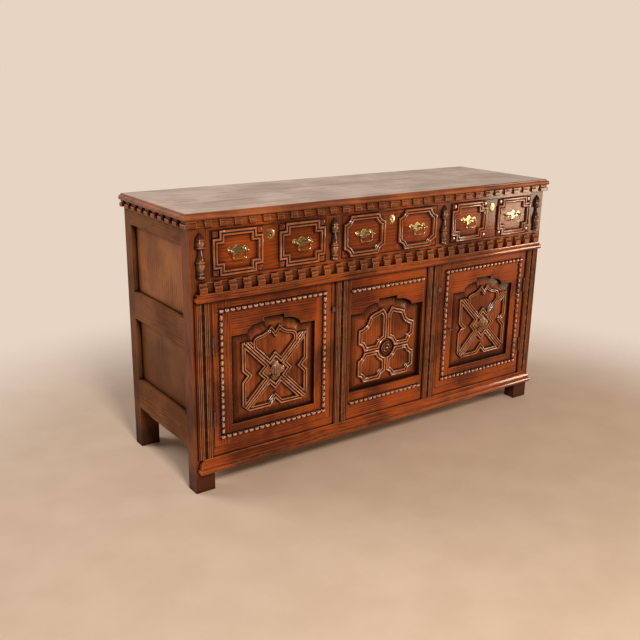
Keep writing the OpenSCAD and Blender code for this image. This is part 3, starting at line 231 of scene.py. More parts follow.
def oak_grain(f, at, run, side, deep, heart, ring_pitch):
    """Tone and pores, both from 0 to 1. The tone adds up figure, streaks and patches; the figure is the sine
    of the distance from the heart over the ring pitch, and pores are the peaks of a fine noise."""

    def noise_along(waves, detail=2.0, roughness=0.55):
        """Noise drawn out along the grain: waves per metre along it and across it."""
        return f.noise(f.combine(run * waves[0], side * waves[1], deep * waves[1]), detail, roughness)

    wobble = noise_along(WOBBLE_WAVES) * HEART_WOBBLE
    from_heart = f.combine(run * HEART_LEAN, side + heart[0] + wobble, deep + heart[1])
    ring = f.node("VectorMath", {"operation": "LENGTH"}, {0: from_heart}, output="Value")
    figure = (ring * (2 * math.pi / ring_pitch)).maths("SINE") * 0.5 + 0.5
    streak = noise_along(STREAK_WAVES, 4.0, 0.62)
    patch = f.noise(f.scaled(at, PATCH_WAVES), 3.0).ramp(0.32, 0.68)
    tone = (figure * 0.24 + streak * 0.52 + patch * 0.56 - 0.22).ramp(0.02, 0.88)
    return tone, noise_along(PORE_WAVES).ramp(0.55, 0.7)


# %% [markdown]
# Then the marks of age, with the painted light that goes with them: wax and painted shade in the hollows,
# wear and painted highlights on the edges. Distances are in metres, and the relief of carved work is in
# millimetres.

# %% Wax and wear, with painted shade and painted highlights
WIDE_HOLLOW, NEAR_HOLLOW, CHAFE_WAVES = 0.035, 0.009, 38.0


def wax_shade_wear_and_highlight(f, at, y, rounded, wide_from, relief, depth, rub_and_highlight_from):
    """Shares of wax with painted shade, and of wear with painted highlight. Wax and painted shade lie where
    the surface isn't open, and wear with its painted highlight is where the rounded normal and the sharp one
    differ, broken up by a noise.

    relief = (face, height, low, high) makes a share that is 0 below low and 1 above high, where 0 is at the
    face and 1 a height in front of it. Wax and painted shade fill by depth where it is 0. Where a start for
    the rubbing is given, wear and painted highlight go from there up to 1 in place of the edges."""
    wide, near = f.openness(WIDE_HOLLOW), f.openness(NEAR_HOLLOW)
    # Painted shade with the wax: darker where little is open round the surface, near and far.
    hollow = wide.ramp(*wide_from, 0.75, 0.0) + near.ramp(0.4, 0.95, 0.9, 0.0)
    # Wear with a painted highlight: paler where the rounded normal turns away from the sharp one.
    sharp = f.node("NewGeometry", output="Normal")
    alike = f.node("VectorMath", {"operation": "DOT_PRODUCT"}, {0: rounded, 1: sharp}, output="Value")
    edge = (1 - alike).ramp(0.01, 0.14)
    if relief is not None:
        face, height, low, high = relief
        raised = (y * (-1000 / height) + (face + FACE_Y) / height).ramp(low, high)
        # Painted shade with the wax in the low parts of the relief.
        hollow = hollow + (1 - raised) * depth
        if rub_and_highlight_from is not None:
            # Painted highlight with the rubbing on the crests.
            edge = raised.ramp(rub_and_highlight_from, 1.0)
    chafe = f.noise(f.scaled(at, CHAFE_WAVES), 3.0).ramp(0.3, 0.62, 0.35, 1.0)
    return hollow.maths("MINIMUM", 1.0), edge * near.ramp(0.5, 0.9) * chafe


# %% [markdown]
# The finish puts them together in the order in which they came: the wood, its stains and painted shades,
# the pores, the wax with painted shade, and the wear with painted highlights on top. A coat of polish lies
# over it, thin on the frame, thick on the carving, and none on the inside.

# %% Polished oak
# Rubbed edges are wear and also a painted highlight; the wax colour is old wax and also painted shade in the
# hollows and gaps.
RUBBED_AND_LIT, WAX_AND_SHADE = (0.62, 0.235, 0.085), (0.012, 0.004, 0.002)
PLANE_WAVES, PLANE_DEPTH, PORE_DEPTH = 26.0, 0.0014, 0.00015


def oak(name, pale, dark, along="x", upright_where=None, wax_and_shade=WAX_AND_SHADE, rubbed_and_lit=RUBBED_AND_LIT, rough=0.32, grime_and_shade=1.0,
        wear_and_highlight=0.7, ring_pitch=0.0085, heart=(0.31, 0.17), relief=None, wide_from=(0.25, 0.85),
        recolour=None, coat=0.25, soften=0.0016, depth=0.85, rub_and_highlight_from=None):
    """Oak whose grain runs along one axis, or upright where upright_where(x) gives 1.

    recolour(f, colour, tone, x, y, z) may stain or shade the colour before pores, wax with painted shade,
    and wear with painted highlights go over it."""
    f = Finish(name)
    at, (x, y, z) = f.place()
    run, side, deep = {"x": (x, z, y), "z": (z, x, y), "y": (y, x, z)}[along]
    if upright_where is not None:
        upright = upright_where(x)
        run, side = run + upright * (side - run), side + upright * (run - side)
    tone, pores = oak_grain(f, at, run, side, deep, heart, ring_pitch)
    rounded = f.rounded(soften)
    hollow, edge = wax_shade_wear_and_highlight(f, at, y, rounded, wide_from, relief, depth, rub_and_highlight_from)
    hollow = hollow * grime_and_shade
    colour = f.mix(tone, dark, pale)
    if recolour is not None:
        colour = recolour(f, colour, tone, x, y, z)
    colour = f.mix(pores * 0.6, colour, tuple(0.25 * c for c in dark))
    # Wax with painted shade in the hollows, then wear with painted highlights on edges and crests.
    colour = f.mix(hollow, colour, wax_and_shade)
    colour = f.mix(edge * wear_and_highlight, colour, rubbed_and_lit)
    planed = f.bump(0.5, PLANE_DEPTH, f.noise(f.scaled(at, PLANE_WAVES), 2.0), Normal=rounded)
    normal = f.bump(0.5, PORE_DEPTH, tone * 0.5 - pores, Normal=planed)
    roughness = hollow * 0.3 + (1 - tone) * 0.1 + rough
    return f.surface(colour, roughness, normal, **{"Specular IOR Level": 0.07, "Coat Weight": coat,
                                                   "Coat Roughness": 0.10})


# %% [markdown]
# ## Stains, painted shade and a painted reflection in the oak
# Age and use have coloured some places more than others, and some light and shade is painted in. The feet
# are dark with damp, the lower side panels are painted darker as shade, and the top's upward face is pale
# and greyish, lost polish and a painted reflection of the pale room together, while the moulded edge keeps
# its red polish. On the drawers each field is painted darker round its rim, gathered polish and painted
# shade together, and the edges of the front are painted black as the shadow in the gaps. Each stain and
# painted shade is a function of the place on the object, so it needs no painted picture, and it lies over
# the grain.
# Places on the drawers are in millimetres, counted from a drawer's middle line and from the floor.

# %% Where the grain stands up, and drawer fronts with dark rims
FIELD_AT, FIELD_HW, FIELD_Z, FIELD_HH = 117.5, 71.0, 772.5, 53.0
FIELD_SHADE, MIDDLE_SHADE, FRONT_ENDS = (0.07, 0.012, 0.004), (24.0, 31.0), (204.0, 208.0)


def door_upright(x):
    """1 on a door's stiles and 0 on its rails: further from the door's middle line than half its opening."""
    middle = (CASE_W / 2 - DOOR_X - DOOR_W / 2) / 1000
    opening = (DOOR_HW - 0.5) / 1000
    return ((x.maths("ABSOLUTE") - middle).maths("ABSOLUTE") - opening).maths("GREATER_THAN", 0.0)


def dark_rims(f, colour, tone, x, y, z):
    """Each drawer's two fields are painted dark round the rim, gathered polish and painted shade together:
    distances u and v from the field's middle as shares of its half width and height, and the fourth powers
    of both added up. A strip down the middle of the front is a little darker, and the front's own edges are
    painted black as the shadow in the gaps round the drawer."""
    pitch = DRAWER_OPEN_W + DRAWER_MUNTIN_W
    off_middle = ((x * 1000 + 1.5 * pitch).maths("FLOORED_MODULO", pitch) - pitch / 2).maths("ABSOLUTE")
    u = (off_middle - FIELD_AT).maths("ABSOLUTE") * (1 / FIELD_HW)
    v = (z * 1000 - FIELD_Z).maths("ABSOLUTE") * (1 / FIELD_HH)
    # Painted shade with gathered polish round each field's rim.
    rim = (u.maths("POWER", 4.0) + v.maths("POWER", 4.0)).ramp(0.05, 0.9, 0.0, 0.8)
    rim = rim * u.maths("MAXIMUM", v).maths("LESS_THAN", 1.15)
    between = off_middle.ramp(*MIDDLE_SHADE, 0.3, 0.0)
    colour = f.mix(rim.maths("MAXIMUM", between), colour, FIELD_SHADE)
    # Painted shadow: the front's ends and its top and bottom edges are black, as the gaps round the drawer.
    edges = off_middle.ramp(*FRONT_ENDS).maths("MAXIMUM", v.ramp(1.27, 1.33))
    return f.mix(edges * 0.9, colour, WAX_AND_SHADE)


# %% Stained feet and shaded panels
FOOT_STAIN, FOOT_STAIN_TOP = (0.030, 0.010, 0.005), (0.045, 0.10)
LOW_SHADE, LOW_SHADE_TOP = (0.070, 0.020, 0.005), (0.40, 0.52)


def foot_stain(f, colour, tone, x, y, z):
    """Stain up to the second height in metres, fading out from the first."""
    return f.mix(z.ramp(*FOOT_STAIN_TOP, 0.75, 0.0), colour, FOOT_STAIN)


def low_shade(f, colour, tone, x, y, z):
    """Shade on the lower panels, which fades out behind the middle rail."""
    return f.mix(z.ramp(*LOW_SHADE_TOP, 0.62, 0.0), colour, LOW_SHADE)


# %% Worn top with a painted reflection
TOP_EDGE_DARK, TOP_EDGE_PALE = (0.13, 0.030, 0.009), (0.40, 0.105, 0.028)
TOP_STAIN, TOP_CRACK = (0.095, 0.048, 0.030), (0.03, 0.014, 0.009)
CRACKS_RIGHT, CRACKS_LEFT = 0.13, -0.62


def worn_and_sheened_top(f, colour, tone, x, y, z):
    """Where the surface faces up it keeps the top's pale, greyish colour, worn polish and a painted
    reflection of the pale room together, with long stains and, towards the left end, fine cracks. Where it
    leans it keeps the red polish."""
    facing_up = f.node("SeparateXYZ", None, {"Vector": f.node("NewGeometry", output="Normal")},
                       output="Z")
    stain = f.noise(f.combine(x * 2.6, y * 24.0, z), 5.0, 0.6).ramp(0.52, 0.72, 0.0, 0.45)
    crack = f.noise(f.combine(x * 5.0, y * 170.0, z), 3.0).ramp(0.60, 0.70)
    crack = crack * x.ramp(CRACKS_RIGHT, CRACKS_LEFT)
    worn_and_sheen = f.mix(crack * 0.8, f.mix(stain, colour, TOP_STAIN), TOP_CRACK)
    # Painted reflection with the wear: faces that look up keep the top's pale colour, leaning ones the red
    # polish.
    return f.mix(facing_up.ramp(0.90, 0.985), f.mix(tone, TOP_EDGE_DARK, TOP_EDGE_PALE), worn_and_sheen)


# %% [markdown]
# ## One oak for each part
# There is one finish for each direction of the grain: rails and drawer fronts lie along the case, posts
# and muntins stand up, side rails run from front to back. The sides are duller and browner, and the
# inside was never polished. Doors have upright stiles and level rails, so their finish turns the grain
# where a stile starts. Carved work is glossier, because it has been rubbed most.

# %% Oak of the case, the doors and the drawers
PALE, DARK = (0.35, 0.066, 0.009), (0.070, 0.0125, 0.003)
# A finish's rubbed colour is wear and also a painted highlight on edges, and its wax colour old wax and also
# painted shade; on the dentils the pale arrises are partly a painted highlight.
rail_oak = oak("oak_rail", PALE, DARK, "x")
moulded_oak = oak("oak_moulded", PALE, DARK, "x", soften=0.003, wear_and_highlight=0.9, rubbed_and_lit=(0.60, 0.24, 0.10),
                  coat=0.5)
post_oak = oak("oak_post", (0.25, 0.060, 0.014), (0.085, 0.019, 0.005), "z", recolour=foot_stain,
               coat=0.14)
# The panels' relief paints the slope darker towards the frame: painted shade in the recess, with wax.
panel_oak = oak("oak_panel", (0.36, 0.084, 0.018), (0.125, 0.026, 0.007), "z", heart=(0.44, 0.12),
                ring_pitch=0.011, relief=(10, 8, 0.0, 1.1), wide_from=(0.35, 0.94), depth=0.75, coat=0.06)
centre_oak = oak("oak_centre_panel", (0.30, 0.066, 0.013), (0.105, 0.021, 0.005), "z", heart=(0.4, 0.1),
                 ring_pitch=0.011, relief=(15, 8, -0.1, 1.0), wide_from=(0.35, 0.94), depth=0.75, coat=0.06)
drawer_oak = oak("oak_drawer", (0.34, 0.064, 0.009), (0.12, 0.020, 0.003), "x", heart=(0.2, 0.22),
                 ring_pitch=0.012, wide_from=(0.4, 0.95), recolour=dark_rims, coat=0.18)
dentil_oak = oak("oak_dentil", (0.32, 0.078, 0.018), (0.10, 0.021, 0.005), "x", grime_and_shade=0.8, wear_and_highlight=1.0,
                 soften=0.003, rubbed_and_lit=(0.74, 0.33, 0.15))
door_oak = oak("oak_door", PALE, DARK, "x", upright_where=door_upright, heart=(0.26, 0.14),
               soften=0.0026, wear_and_highlight=0.9)

# %% Oak of the sides, the top and the inside
SIDE_RUBBED = (0.36, 0.18, 0.09)
side_post_oak = oak("oak_side_post", (0.21, 0.074, 0.024), (0.100, 0.034, 0.011), "z", wear_and_highlight=0.3, rough=0.5,
                    rubbed_and_lit=SIDE_RUBBED, recolour=foot_stain, coat=0.06)
side_rail_oak = oak("oak_side_rail", (0.27, 0.092, 0.026), (0.135, 0.043, 0.012), "y", wear_and_highlight=0.3, rough=0.5,
                    rubbed_and_lit=SIDE_RUBBED, coat=0.06)
side_panel_oak = oak("oak_side_panel", (0.46, 0.165, 0.054), (0.24, 0.078, 0.023), "z", wear_and_highlight=0.2, rough=0.46,
                     heart=(0.5, 1.2), ring_pitch=0.014, recolour=low_shade, coat=0.10)
# The top's pale, greyish colours are worn polish and also a painted reflection of the pale room.
top_oak = oak("oak_top", (0.64, 0.445, 0.355), (0.40, 0.27, 0.21), "x", wax_and_shade=(0.05, 0.022, 0.014),
              rough=0.36, wear_and_highlight=0.35, heart=(0.3, 0.55), ring_pitch=0.016, recolour=worn_and_sheened_top, coat=0.35)
raw_oak = {along: oak("oak_raw_" + along, (0.48, 0.255, 0.125), (0.31, 0.155, 0.072), along,
                      wax_and_shade=(0.05, 0.028, 0.014), rubbed_and_lit=(0.46, 0.28, 0.15), rough=0.62, wear_and_highlight=0.2, coat=0.0)
           for along in "xyz"}

# %% Oak of the carved, moulded and turned work
# On carved, moulded and turned work the crests are painted paler, wear and a painted highlight together, and
# the low parts darker, wax and painted shade together. The beads and the boss have a painted highlight on
# their crowns, the spindles a painted pale line down the middle with painted shade at their sides, and the
# strips' slots are painted dark as shade.
RUBBED_AND_LIT_CREST = (0.72, 0.30, 0.13)
carved_oak = {name: oak("oak_carved_" + name, (0.34, 0.074, 0.014), (0.12, 0.024, 0.006), "z", wear_and_highlight=wear_and_highlight,
                        rough=0.25, rubbed_and_lit=RUBBED_AND_LIT_CREST, relief=(face, height, low, 0.98),
                        rub_and_highlight_from=0.72, coat=1.0, depth=depth)
              for name, face, height, low, wear_and_highlight, depth in (
                  ("door", 1, 9, 0.40, 0.52, 0.85), ("centre", 7, 8, 0.40, 0.46, 0.85),
                  ("drawer", 0, 9, 0.1, 0.28, 0.70))}
boss_oak = oak("oak_boss", (0.48, 0.17, 0.060), (0.24, 0.070, 0.022), "z", wear_and_highlight=1.0, rough=0.20,
               rubbed_and_lit=(0.82, 0.46, 0.27), relief=(1, 9, -0.3, 0.85), depth=0.45, soften=0.0032, coat=1.0)
strip_oak = oak("oak_strip", (0.28, 0.060, 0.013), (0.09, 0.018, 0.005), "z", wear_and_highlight=0.55, rough=0.30,
                rubbed_and_lit=(0.60, 0.23, 0.09), relief=(0, 7, 0.40, 1.0), depth=0.9, rub_and_highlight_from=0.55)
bead_oak = oak("oak_bead", (0.28, 0.072, 0.020), (0.10, 0.022, 0.006), "z", wear_and_highlight=0.8, rough=0.2,
               rubbed_and_lit=(0.78, 0.42, 0.24), relief=(0, 8.5, 0.30, 1.10), rub_and_highlight_from=0.72, coat=1.0)
dark_oak = oak("oak_dark", (0.17, 0.043, 0.012), (0.055, 0.013, 0.005), "z", wear_and_highlight=0.4, rough=0.20,
               rubbed_and_lit=(0.62, 0.25, 0.11), relief=(0, 19, 0.0, 0.9), rub_and_highlight_from=0.7, coat=1.0)
print("oak finishes:", len([m for m in bpy.data.materials if m.name.startswith("oak")]))

# %% [markdown]
# ## Brass and iron
# The handles are cast brass, cleaned on the high spots and brown in the hollows. The hinges and the lock
# cases are worn steel, and the key and the turn buttons are dark iron. All three are one recipe: clean
# metal mixed with tarnish, which is duller as well as darker.

# %% Metals
SPOT_WAVES, SPOT_DEPTH, METAL_HOLLOW, METAL_EDGE = 160.0, 0.0003, 0.006, 0.0006


def metal(name, bright, tarnish, rough, grip=0.5):
    """Metal with tarnish where a noise is high or the surface is hollow."""
    f = Finish(name)
    at, _ = f.place()
    spots = f.noise(f.scaled(at, SPOT_WAVES), 4.0)
    hollow = f.openness(METAL_HOLLOW).ramp(0.35, 0.9, 0.9, 0.0)
    dirt = (spots.ramp(0.42, 0.7) * grip + hollow).maths("MINIMUM", 1.0)
    normal = f.bump(0.3, SPOT_DEPTH, spots, Normal=f.rounded(METAL_EDGE))
    return f.surface(f.mix(dirt, bright, tarnish), dirt * 0.3 + rough, normal, Metallic=1.0)


brass = metal("aged_brass", (0.60, 0.45, 0.22), (0.15, 0.085, 0.035), 0.25, 0.7)
steel = metal("worn_steel", (0.20, 0.16, 0.12), (0.05, 0.03, 0.02), 0.4)
dark_iron = metal("dark_iron", (0.18, 0.15, 0.13), (0.05, 0.035, 0.03), 0.35)
print("metals:", brass.name, steel.name, dark_iron.name)

# %% [markdown]
# ## Finishes on the CAD pieces
# Every piece from CAD comes with its material slots. Putting the finish in those slots dresses the piece
# and leaves its mesh alone. A node's finish is found by how its name starts, and what is left over is a
# rail of the front.

# %% Finish of every CAD node
FINISHED_IN = (
    (top_oak, ("top_boards",)),
    (post_oak, ("front_post", "drawer_muntins", "door_muntins")),
    (side_post_oak, ("rear_post",)),
    (side_rail_oak, ("side_rails",)),
    (side_panel_oak, ("side_panels",)),
    (moulded_oak, ("waist_lip", "base_moulding")),
    (dentil_oak, ("cornice", "dentil_band")),
    (dark_oak, ("split_spindles",)),
    (strip_oak, ("reeded_strips",)),
    (bead_oak, ("centre_beads", "door_beads")),
    (centre_oak, ("centre_panel",)),
    (carved_oak["centre"], ("centre_mouldings",)),
    (drawer_oak, ("drawer_front",)),
    (carved_oak["drawer"], ("drawer_mouldings",)),
    (door_oak, ("door_frame",)),
    (panel_oak, ("door_panel",)),
    (carved_oak["door"], ("door_mouldings",)),
    (raw_oak["x"], ("back_rails",)),
    (raw_oak["y"], ("floor_boards", "drawer_box", "drawer_runners")),
    (raw_oak["z"], ("back_boards",)),
    (brass, ("drawer_brasses", "bail")),
    (steel, ("post_hinges", "door_iron")),
    (dark_iron, ("key", "turn_button")),
)
for node_name, node_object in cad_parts.items():
    finish = next((made for made, starts in FINISHED_IN if node_name.startswith(starts)), rail_oak)
    for slot in node_object.material_slots:
        slot.material = finish
print("finished nodes:", len(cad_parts))

# %% [markdown]
# ## Shapes worked out with arrays
# Turned and moulded work is a section carried along a path, or turned round a line. A Form holds such a
# shape: its points, its faces, and the saw cuts that take its corners off. The grid of points comes from
# numpy in one step. Where the ends of a turned piece run to a point, the points that fall together are
# merged afterwards, and the faces are then turned to look outwards. A form is drawn about its own middle
# and then moved to its place, because the same form serves for several places.


# %% Forms
class Form:
    """Points in millimetres, arrays of faces, and saw cuts given as (point, direction taken off)."""

    def __init__(self, points, faces, cuts=()):
        self.points = np.asarray(points, float)
        self.faces = faces
        self.cuts = list(cuts)

    def moved(self, x=0.0, y=0.0, z=0.0):
        """The same form further along, back or up."""
        shift = np.array([x, y, z])
        return Form(self.points + shift, self.faces, [(np.add(p, shift), n) for p, n in self.cuts])

    def mirrored(self, about=CASE_W / 2):
        """Mirror image across the upright plane at one x."""
        flip = np.array([-1.0, 1, 1])
        shift = np.array([2 * about, 0, 0])
        return Form(self.points * flip + shift, self.faces,
                    [(np.multiply(p, flip) + shift, np.multiply(n, flip)) for p, n in self.cuts])


def grid(points, around=False, closed=False, caps=False):
    """Quads between neighbours in a grid of points [rows, columns, 3]. Rows may close round on the first
    row, columns on the first column, and caps put one face over the first and the last row."""
    rows, columns = points.shape[:2]
    index = np.arange(rows * columns).reshape(rows, columns)
    ends = [index[:1], index[-1:, ::-1]] if caps else []
    if around:
        index = np.vstack([index, index[:1]])
    if closed:
        index = np.hstack([index, index[:, :1]])
    quads = np.stack([index[:-1, :-1], index[1:, :-1], index[1:, 1:], index[:-1, 1:]], -1).reshape(-1, 4)
    return Form(points.reshape(-1, 3), [quads] + ends)


# %% From forms to a piece
SAME_POINT, SAME_EDGE = 2e-6, 1e-7


def built(form):
    """Mesh of one form: points merged where they meet, cuts sawn and closed, faces outwards."""
    mesh = bpy.data.meshes.new("part")
    faces = [face for part in form.faces for face in part.tolist()]
    mesh.from_pydata(metres(form.points).tolist(), [], faces)
    work = bmesh.new()
    work.from_mesh(mesh)
    bmesh.ops.remove_doubles(work, verts=work.verts, dist=SAME_POINT)
    bmesh.ops.dissolve_degenerate(work, edges=work.edges, dist=SAME_EDGE)
    for point, taken in form.cuts:
        everything = list(work.verts) + list(work.edges) + list(work.faces)
        bmesh.ops.bisect_plane(work, geom=everything, dist=SAME_EDGE, plane_co=metres(point),
                               plane_no=taken, clear_outer=True)
        open_edges = [e for e in work.edges if e.is_boundary]
        bmesh.ops.edgenet_fill(work, edges=open_edges)
    open_edges = [e for e in work.edges if e.is_boundary]
    if open_edges:
        bmesh.ops.holes_fill(work, edges=open_edges, sides=0)
    bmesh.ops.recalc_face_normals(work, faces=work.faces)
    work.to_mesh(mesh)
    work.free()
    return mesh


def piece(name, body, finish, forms, replaces=(), sharp=38):
    """One object from its forms: smooth but for edges sharper than the given angle, riding on its body."""
    whole = bmesh.new()
    for form in forms:
        part = built(form)
        whole.from_mesh(part)
        bpy.data.meshes.remove(part)
    mesh = bpy.data.meshes.new(name)
    whole.to_mesh(mesh)
    whole.free()
    mesh.shade_smooth()
    mesh.set_sharp_from_angle(angle=math.radians(sharp))
    mesh.materials.append(finish)
    made = bpy.data.objects.new(name, mesh)
    bpy.context.scene.collection.objects.link(made)
    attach(made, body)
    if replaces:
        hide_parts(*replaces)
    loose = sum(1 for e in mesh.edges if e.is_loose)
    print(name, "faces", len(mesh.polygons), "loose edges", loose)


# %% [markdown]
# ## Outlines and sections
# A joiner mitres a moulding: every corner of the outline meets its neighbour on the line that halves the
# angle. Blender's bevelled curves pinch at such corners, so here the outline itself is moved inwards, once
# for each point of the section. Corner cutting takes the hardness off, as sandpaper would.

# %% Outlines and sections
def softened(points, rounds=2, closed=False):
    """Corner cutting: each edge keeps the points at a quarter and three quarters of it, again and again."""
    p = np.asarray(points, float)
    for _ in range(rounds):
        a, b = (p, np.roll(p, -1, 0)) if closed else (p[:-1], p[1:])
        cut = np.stack([0.75 * a + 0.25 * b, 0.25 * a + 0.75 * b], 1).reshape(-1, p.shape[1])
        p = cut if closed else np.vstack([p[:1], cut, p[-1:]])
    return p


def inset(path, distance, shares=None):
    """Outline moved inwards: each corner goes to where its two edges meet after moving in by the distance
    times their share. For normals a and b with c = a.b that is (a(s - tc) + b(t - sc)) / (1 - c squared)."""
    path = np.asarray(path, float)
    share = np.ones(len(path)) if shares is None else np.asarray(shares, float)
    step = np.roll(path, -1, 0) - path
    out_normal = np.stack([-step[:, 1], step[:, 0]], 1) / np.linalg.norm(step, axis=1)[:, None]
    in_normal = np.roll(out_normal, 1, 0)
    s, t = np.roll(share, 1)[:, None], share[:, None]
    c = (in_normal * out_normal).sum(1)[:, None]
    same = (in_normal + out_normal) * s / (1 + c)
    unlike = (in_normal * (s - t * c) + out_normal * (t - s * c)) / np.maximum(1 - c * c, 1e-9)
    return path + np.where(np.abs(s - t) < 1e-9, same, unlike) * distance


def moulding(path_at, section, face_y):
    """Ring of a moulding: at each section point (distance in, height) the path moved in by that distance."""
    rings = np.stack([path_at(d) for d, _ in section], 1)
    height = np.broadcast_to(face_y - section[:, 1], rings.shape[:2])
    return grid(np.stack([rings[..., 0], height, rings[..., 1]], -1), around=True, closed=True)


def ridges(w, h):
    """Section of the applied mouldings: an outer round, a hollow and a lower inner round, softened."""
    keys = np.array([[0, 0], [0, 0.5], [0.06, 0.9], [0.2, 1.04], [0.34, 0.9], [0.42, 0.5], [0.52, 0.5],
                     [0.6, 0.82], [0.72, 0.9], [0.84, 0.76], [0.9, 0.36], [1, 0.24], [1, 0]])
    return softened(keys) * [w, h]


def flipped(path):
    """Mirror image of an outline across x = 0, still running anticlockwise."""
    return np.asarray(path, float)[::-1] * [-1, 1]


def half_turned(profile, segments=24, flutes=0, depth=0.0):
    """Half of a turned shape with its flat side at the back: radius and height turned through 180 degrees,
    with flutes cut as 1 + depth cos(flutes angle)."""
    angle = np.linspace(0, math.pi, segments + 1)
    profile = np.asarray(profile, float)
    radius = profile[:, :1] * (1 + depth * np.cos(flutes * angle))[None, :]
    height = np.broadcast_to(profile[:, 1:], radius.shape)
    return grid(np.stack([radius * np.cos(angle), -radius * np.sin(angle), height], -1), closed=True)


def lying(form):
    """Turns an upright form to lie along x."""
    x, y, z = form.points.T
    return Form(np.stack([z, y, -x], 1), form.faces)


print("a corner cut once:", softened([[0, 0], [4, 0], [4, 4]], 1).tolist())

# %% [markdown]
# ## Split spindles
# Each spindle is turned on a lathe with a paper joint down its middle, split, and glued to the face of a
# post or muntin. The Screw modifier could turn it too, but its flat back would still have to be cut. The
# profile is one list of radii and heights as shares of the spindle, turned half round.

# %% Split spindles
SPINDLE = np.array([
    [0, 0], [0.78, 0], [0.8, 0.045], [0.6, 0.065], [0.6, 0.085], [0.78, 0.1], [0.8, 0.12], [0.6, 0.145],
    [0.74, 0.2], [0.86, 0.27], [0.88, 0.305], [0.72, 0.33], [0.95, 0.345], [0.96, 0.375], [0.7, 0.39],
    [0.66, 0.43], [0.52, 0.51], [0.42, 0.6], [0.4, 0.66], [0.98, 0.67], [1, 0.69], [0.72, 0.705],
    [0.82, 0.74], [0.86, 0.77], [0.82, 0.8], [0.66, 0.825], [0.8, 0.835], [0.8, 0.855], [0.72, 0.87],
    [0.5, 0.925], [0.22, 0.985], [0, 1]])
SPINDLE_R, SPINDLE_L = 19.0, 138.0
spindle = half_turned(softened(SPINDLE * [SPINDLE_R, SPINDLE_L], 1), segments=28)
spindle_z = box_mm("split_spindles")[0][2]
post_x, muntin_x = POST_W / 2, POST_W + DRAWER_OPEN_W + DRAWER_MUNTIN_W / 2
piece("split_spindles_turned", "case", dark_oak,
      [spindle.moved(x, 0, spindle_z) for x in (post_x, muntin_x, CASE_W - muntin_x, CASE_W - post_x)],
      ["split_spindles"])

# %% [markdown]
# ## Reeded strips
# A strip is planed to three reeds each side of a hollow, and the hollow is then gouged with a row of
# round-ended slots. One height for each point does both: the reeds from the plan across the strip, and
# the slots taken off it where a rounded rectangle says so.

# %% Reeded strips
STRIP_W, STRIP_T, STRIP_STEP = 55.0, 7.0, 2.0
SLOT_PITCH, SLOT_L, SLOT_W, SLOT_FLOOR = 32.0, 23.0, 8.0, 0.2
STRIP_HALF = np.array([[0, 0.5], [0.09, 0.5], [0.11, 0.9], [0.14, 1], [0.17, 0.7], [0.195, 0.62],
                       [0.24, 0.95], [0.285, 0.62], [0.31, 0.62], [0.355, 0.95], [0.4, 0.62],
                       [0.43, 0.6], [0.47, 0.75], [0.5, 0.6]])
strip_low, strip_high = box_mm("reeded_strips")


def reeded_strip(z0, z1):
    """Height over the face: reeds by distance from the middle line, less the slots, and 0 round the rim. A
    point is inside a slot where the cube of its share across and the sixth power of its share along add up
    to less than 1."""
    half = softened(STRIP_HALF, 1)
    across = np.concatenate([-half[:0:-1, 0], half[:, 0]])
    reed = np.concatenate([half[:0:-1, 1], half[:, 1]]) * STRIP_T
    along = np.linspace(z0, z1, int((z1 - z0) / STRIP_STEP) + 1)
    x, z = np.meshgrid(across * STRIP_W, along)
    slots = math.floor((z1 - z0 - SLOT_L) / SLOT_PITCH) + 1
    from_middle = z - (z0 + z1) / 2
    first = SLOT_PITCH / 2 if slots % 2 else SLOT_PITCH
    from_slot = (from_middle + first) % SLOT_PITCH - SLOT_PITCH / 2
    inside = 1 - np.abs(x / (SLOT_W / 2)) ** 3 - np.abs(from_slot / (SLOT_L / 2)) ** 6
    inside = np.clip(inside * 3, 0, 1) * (np.abs(from_middle) < slots * SLOT_PITCH / 2)
    height = reed[None, :] * (1 - inside) + SLOT_FLOOR * STRIP_T * inside
    top = np.stack([x, -height, z], -1)
    rim = top.copy()
    rim[..., 1] = 0
    framed = np.pad(top, ((1, 1), (1, 1), (0, 0)), mode="edge")
    framed[0, 1:-1], framed[-1, 1:-1] = rim[0], rim[-1]
    framed[1:-1, 0], framed[1:-1, -1] = rim[:, 0], rim[:, -1]
    for r, c in ((0, 0), (0, -1), (-1, 0), (-1, -1)):
        framed[r, c, 1] = 0
    return grid(framed)


outer_x, inner_x = strip_low[0] + STRIP_W / 2, POST_W + DOOR_OPEN_W + DOOR_MUNTIN_W / 2
strip = reeded_strip(strip_low[2], strip_high[2])
piece("reeded_strips_carved", "case", strip_oak,
      [strip.moved(x) for x in (outer_x, inner_x, CASE_W - inner_x, CASE_W - outer_x)],
      ["reeded_strips"], sharp=50)

# %% [markdown]
# ## Beads
# The beads are strings turned in one length and split, like the spindles. Each bead is a short barrel
# with a narrow neck. Separate balls would look strung on nothing, so a row is one turned piece. There are
# nearly two hundred beads, so each has only about a hundred faces and leans on smooth shading.

# %% Bead rows
BEAD_R = 8.5
BEAD_SHAPE = np.array([[-1, 0.42], [-0.9, 0.46], [-0.84, 0.74], [-0.6, 0.93], [-0.2, 1], [0.2, 1],
                       [0.6, 0.93], [0.84, 0.74], [0.9, 0.46]])


def bead_row(count, pitch):
    """Barrels along z, one every pitch: radius by place within the pitch."""
    place = (np.arange(count)[:, None] * pitch + BEAD_SHAPE[None, :, 0] * pitch / 2).ravel()
    radius = np.tile(BEAD_SHAPE[:, 1], count) * BEAD_R
    ends = [[0, place[0]], [0, place[-1] + 0.1 * pitch]]
    return half_turned(np.vstack([ends[:1], np.stack([radius, place], 1), ends[1:]]), segments=10)


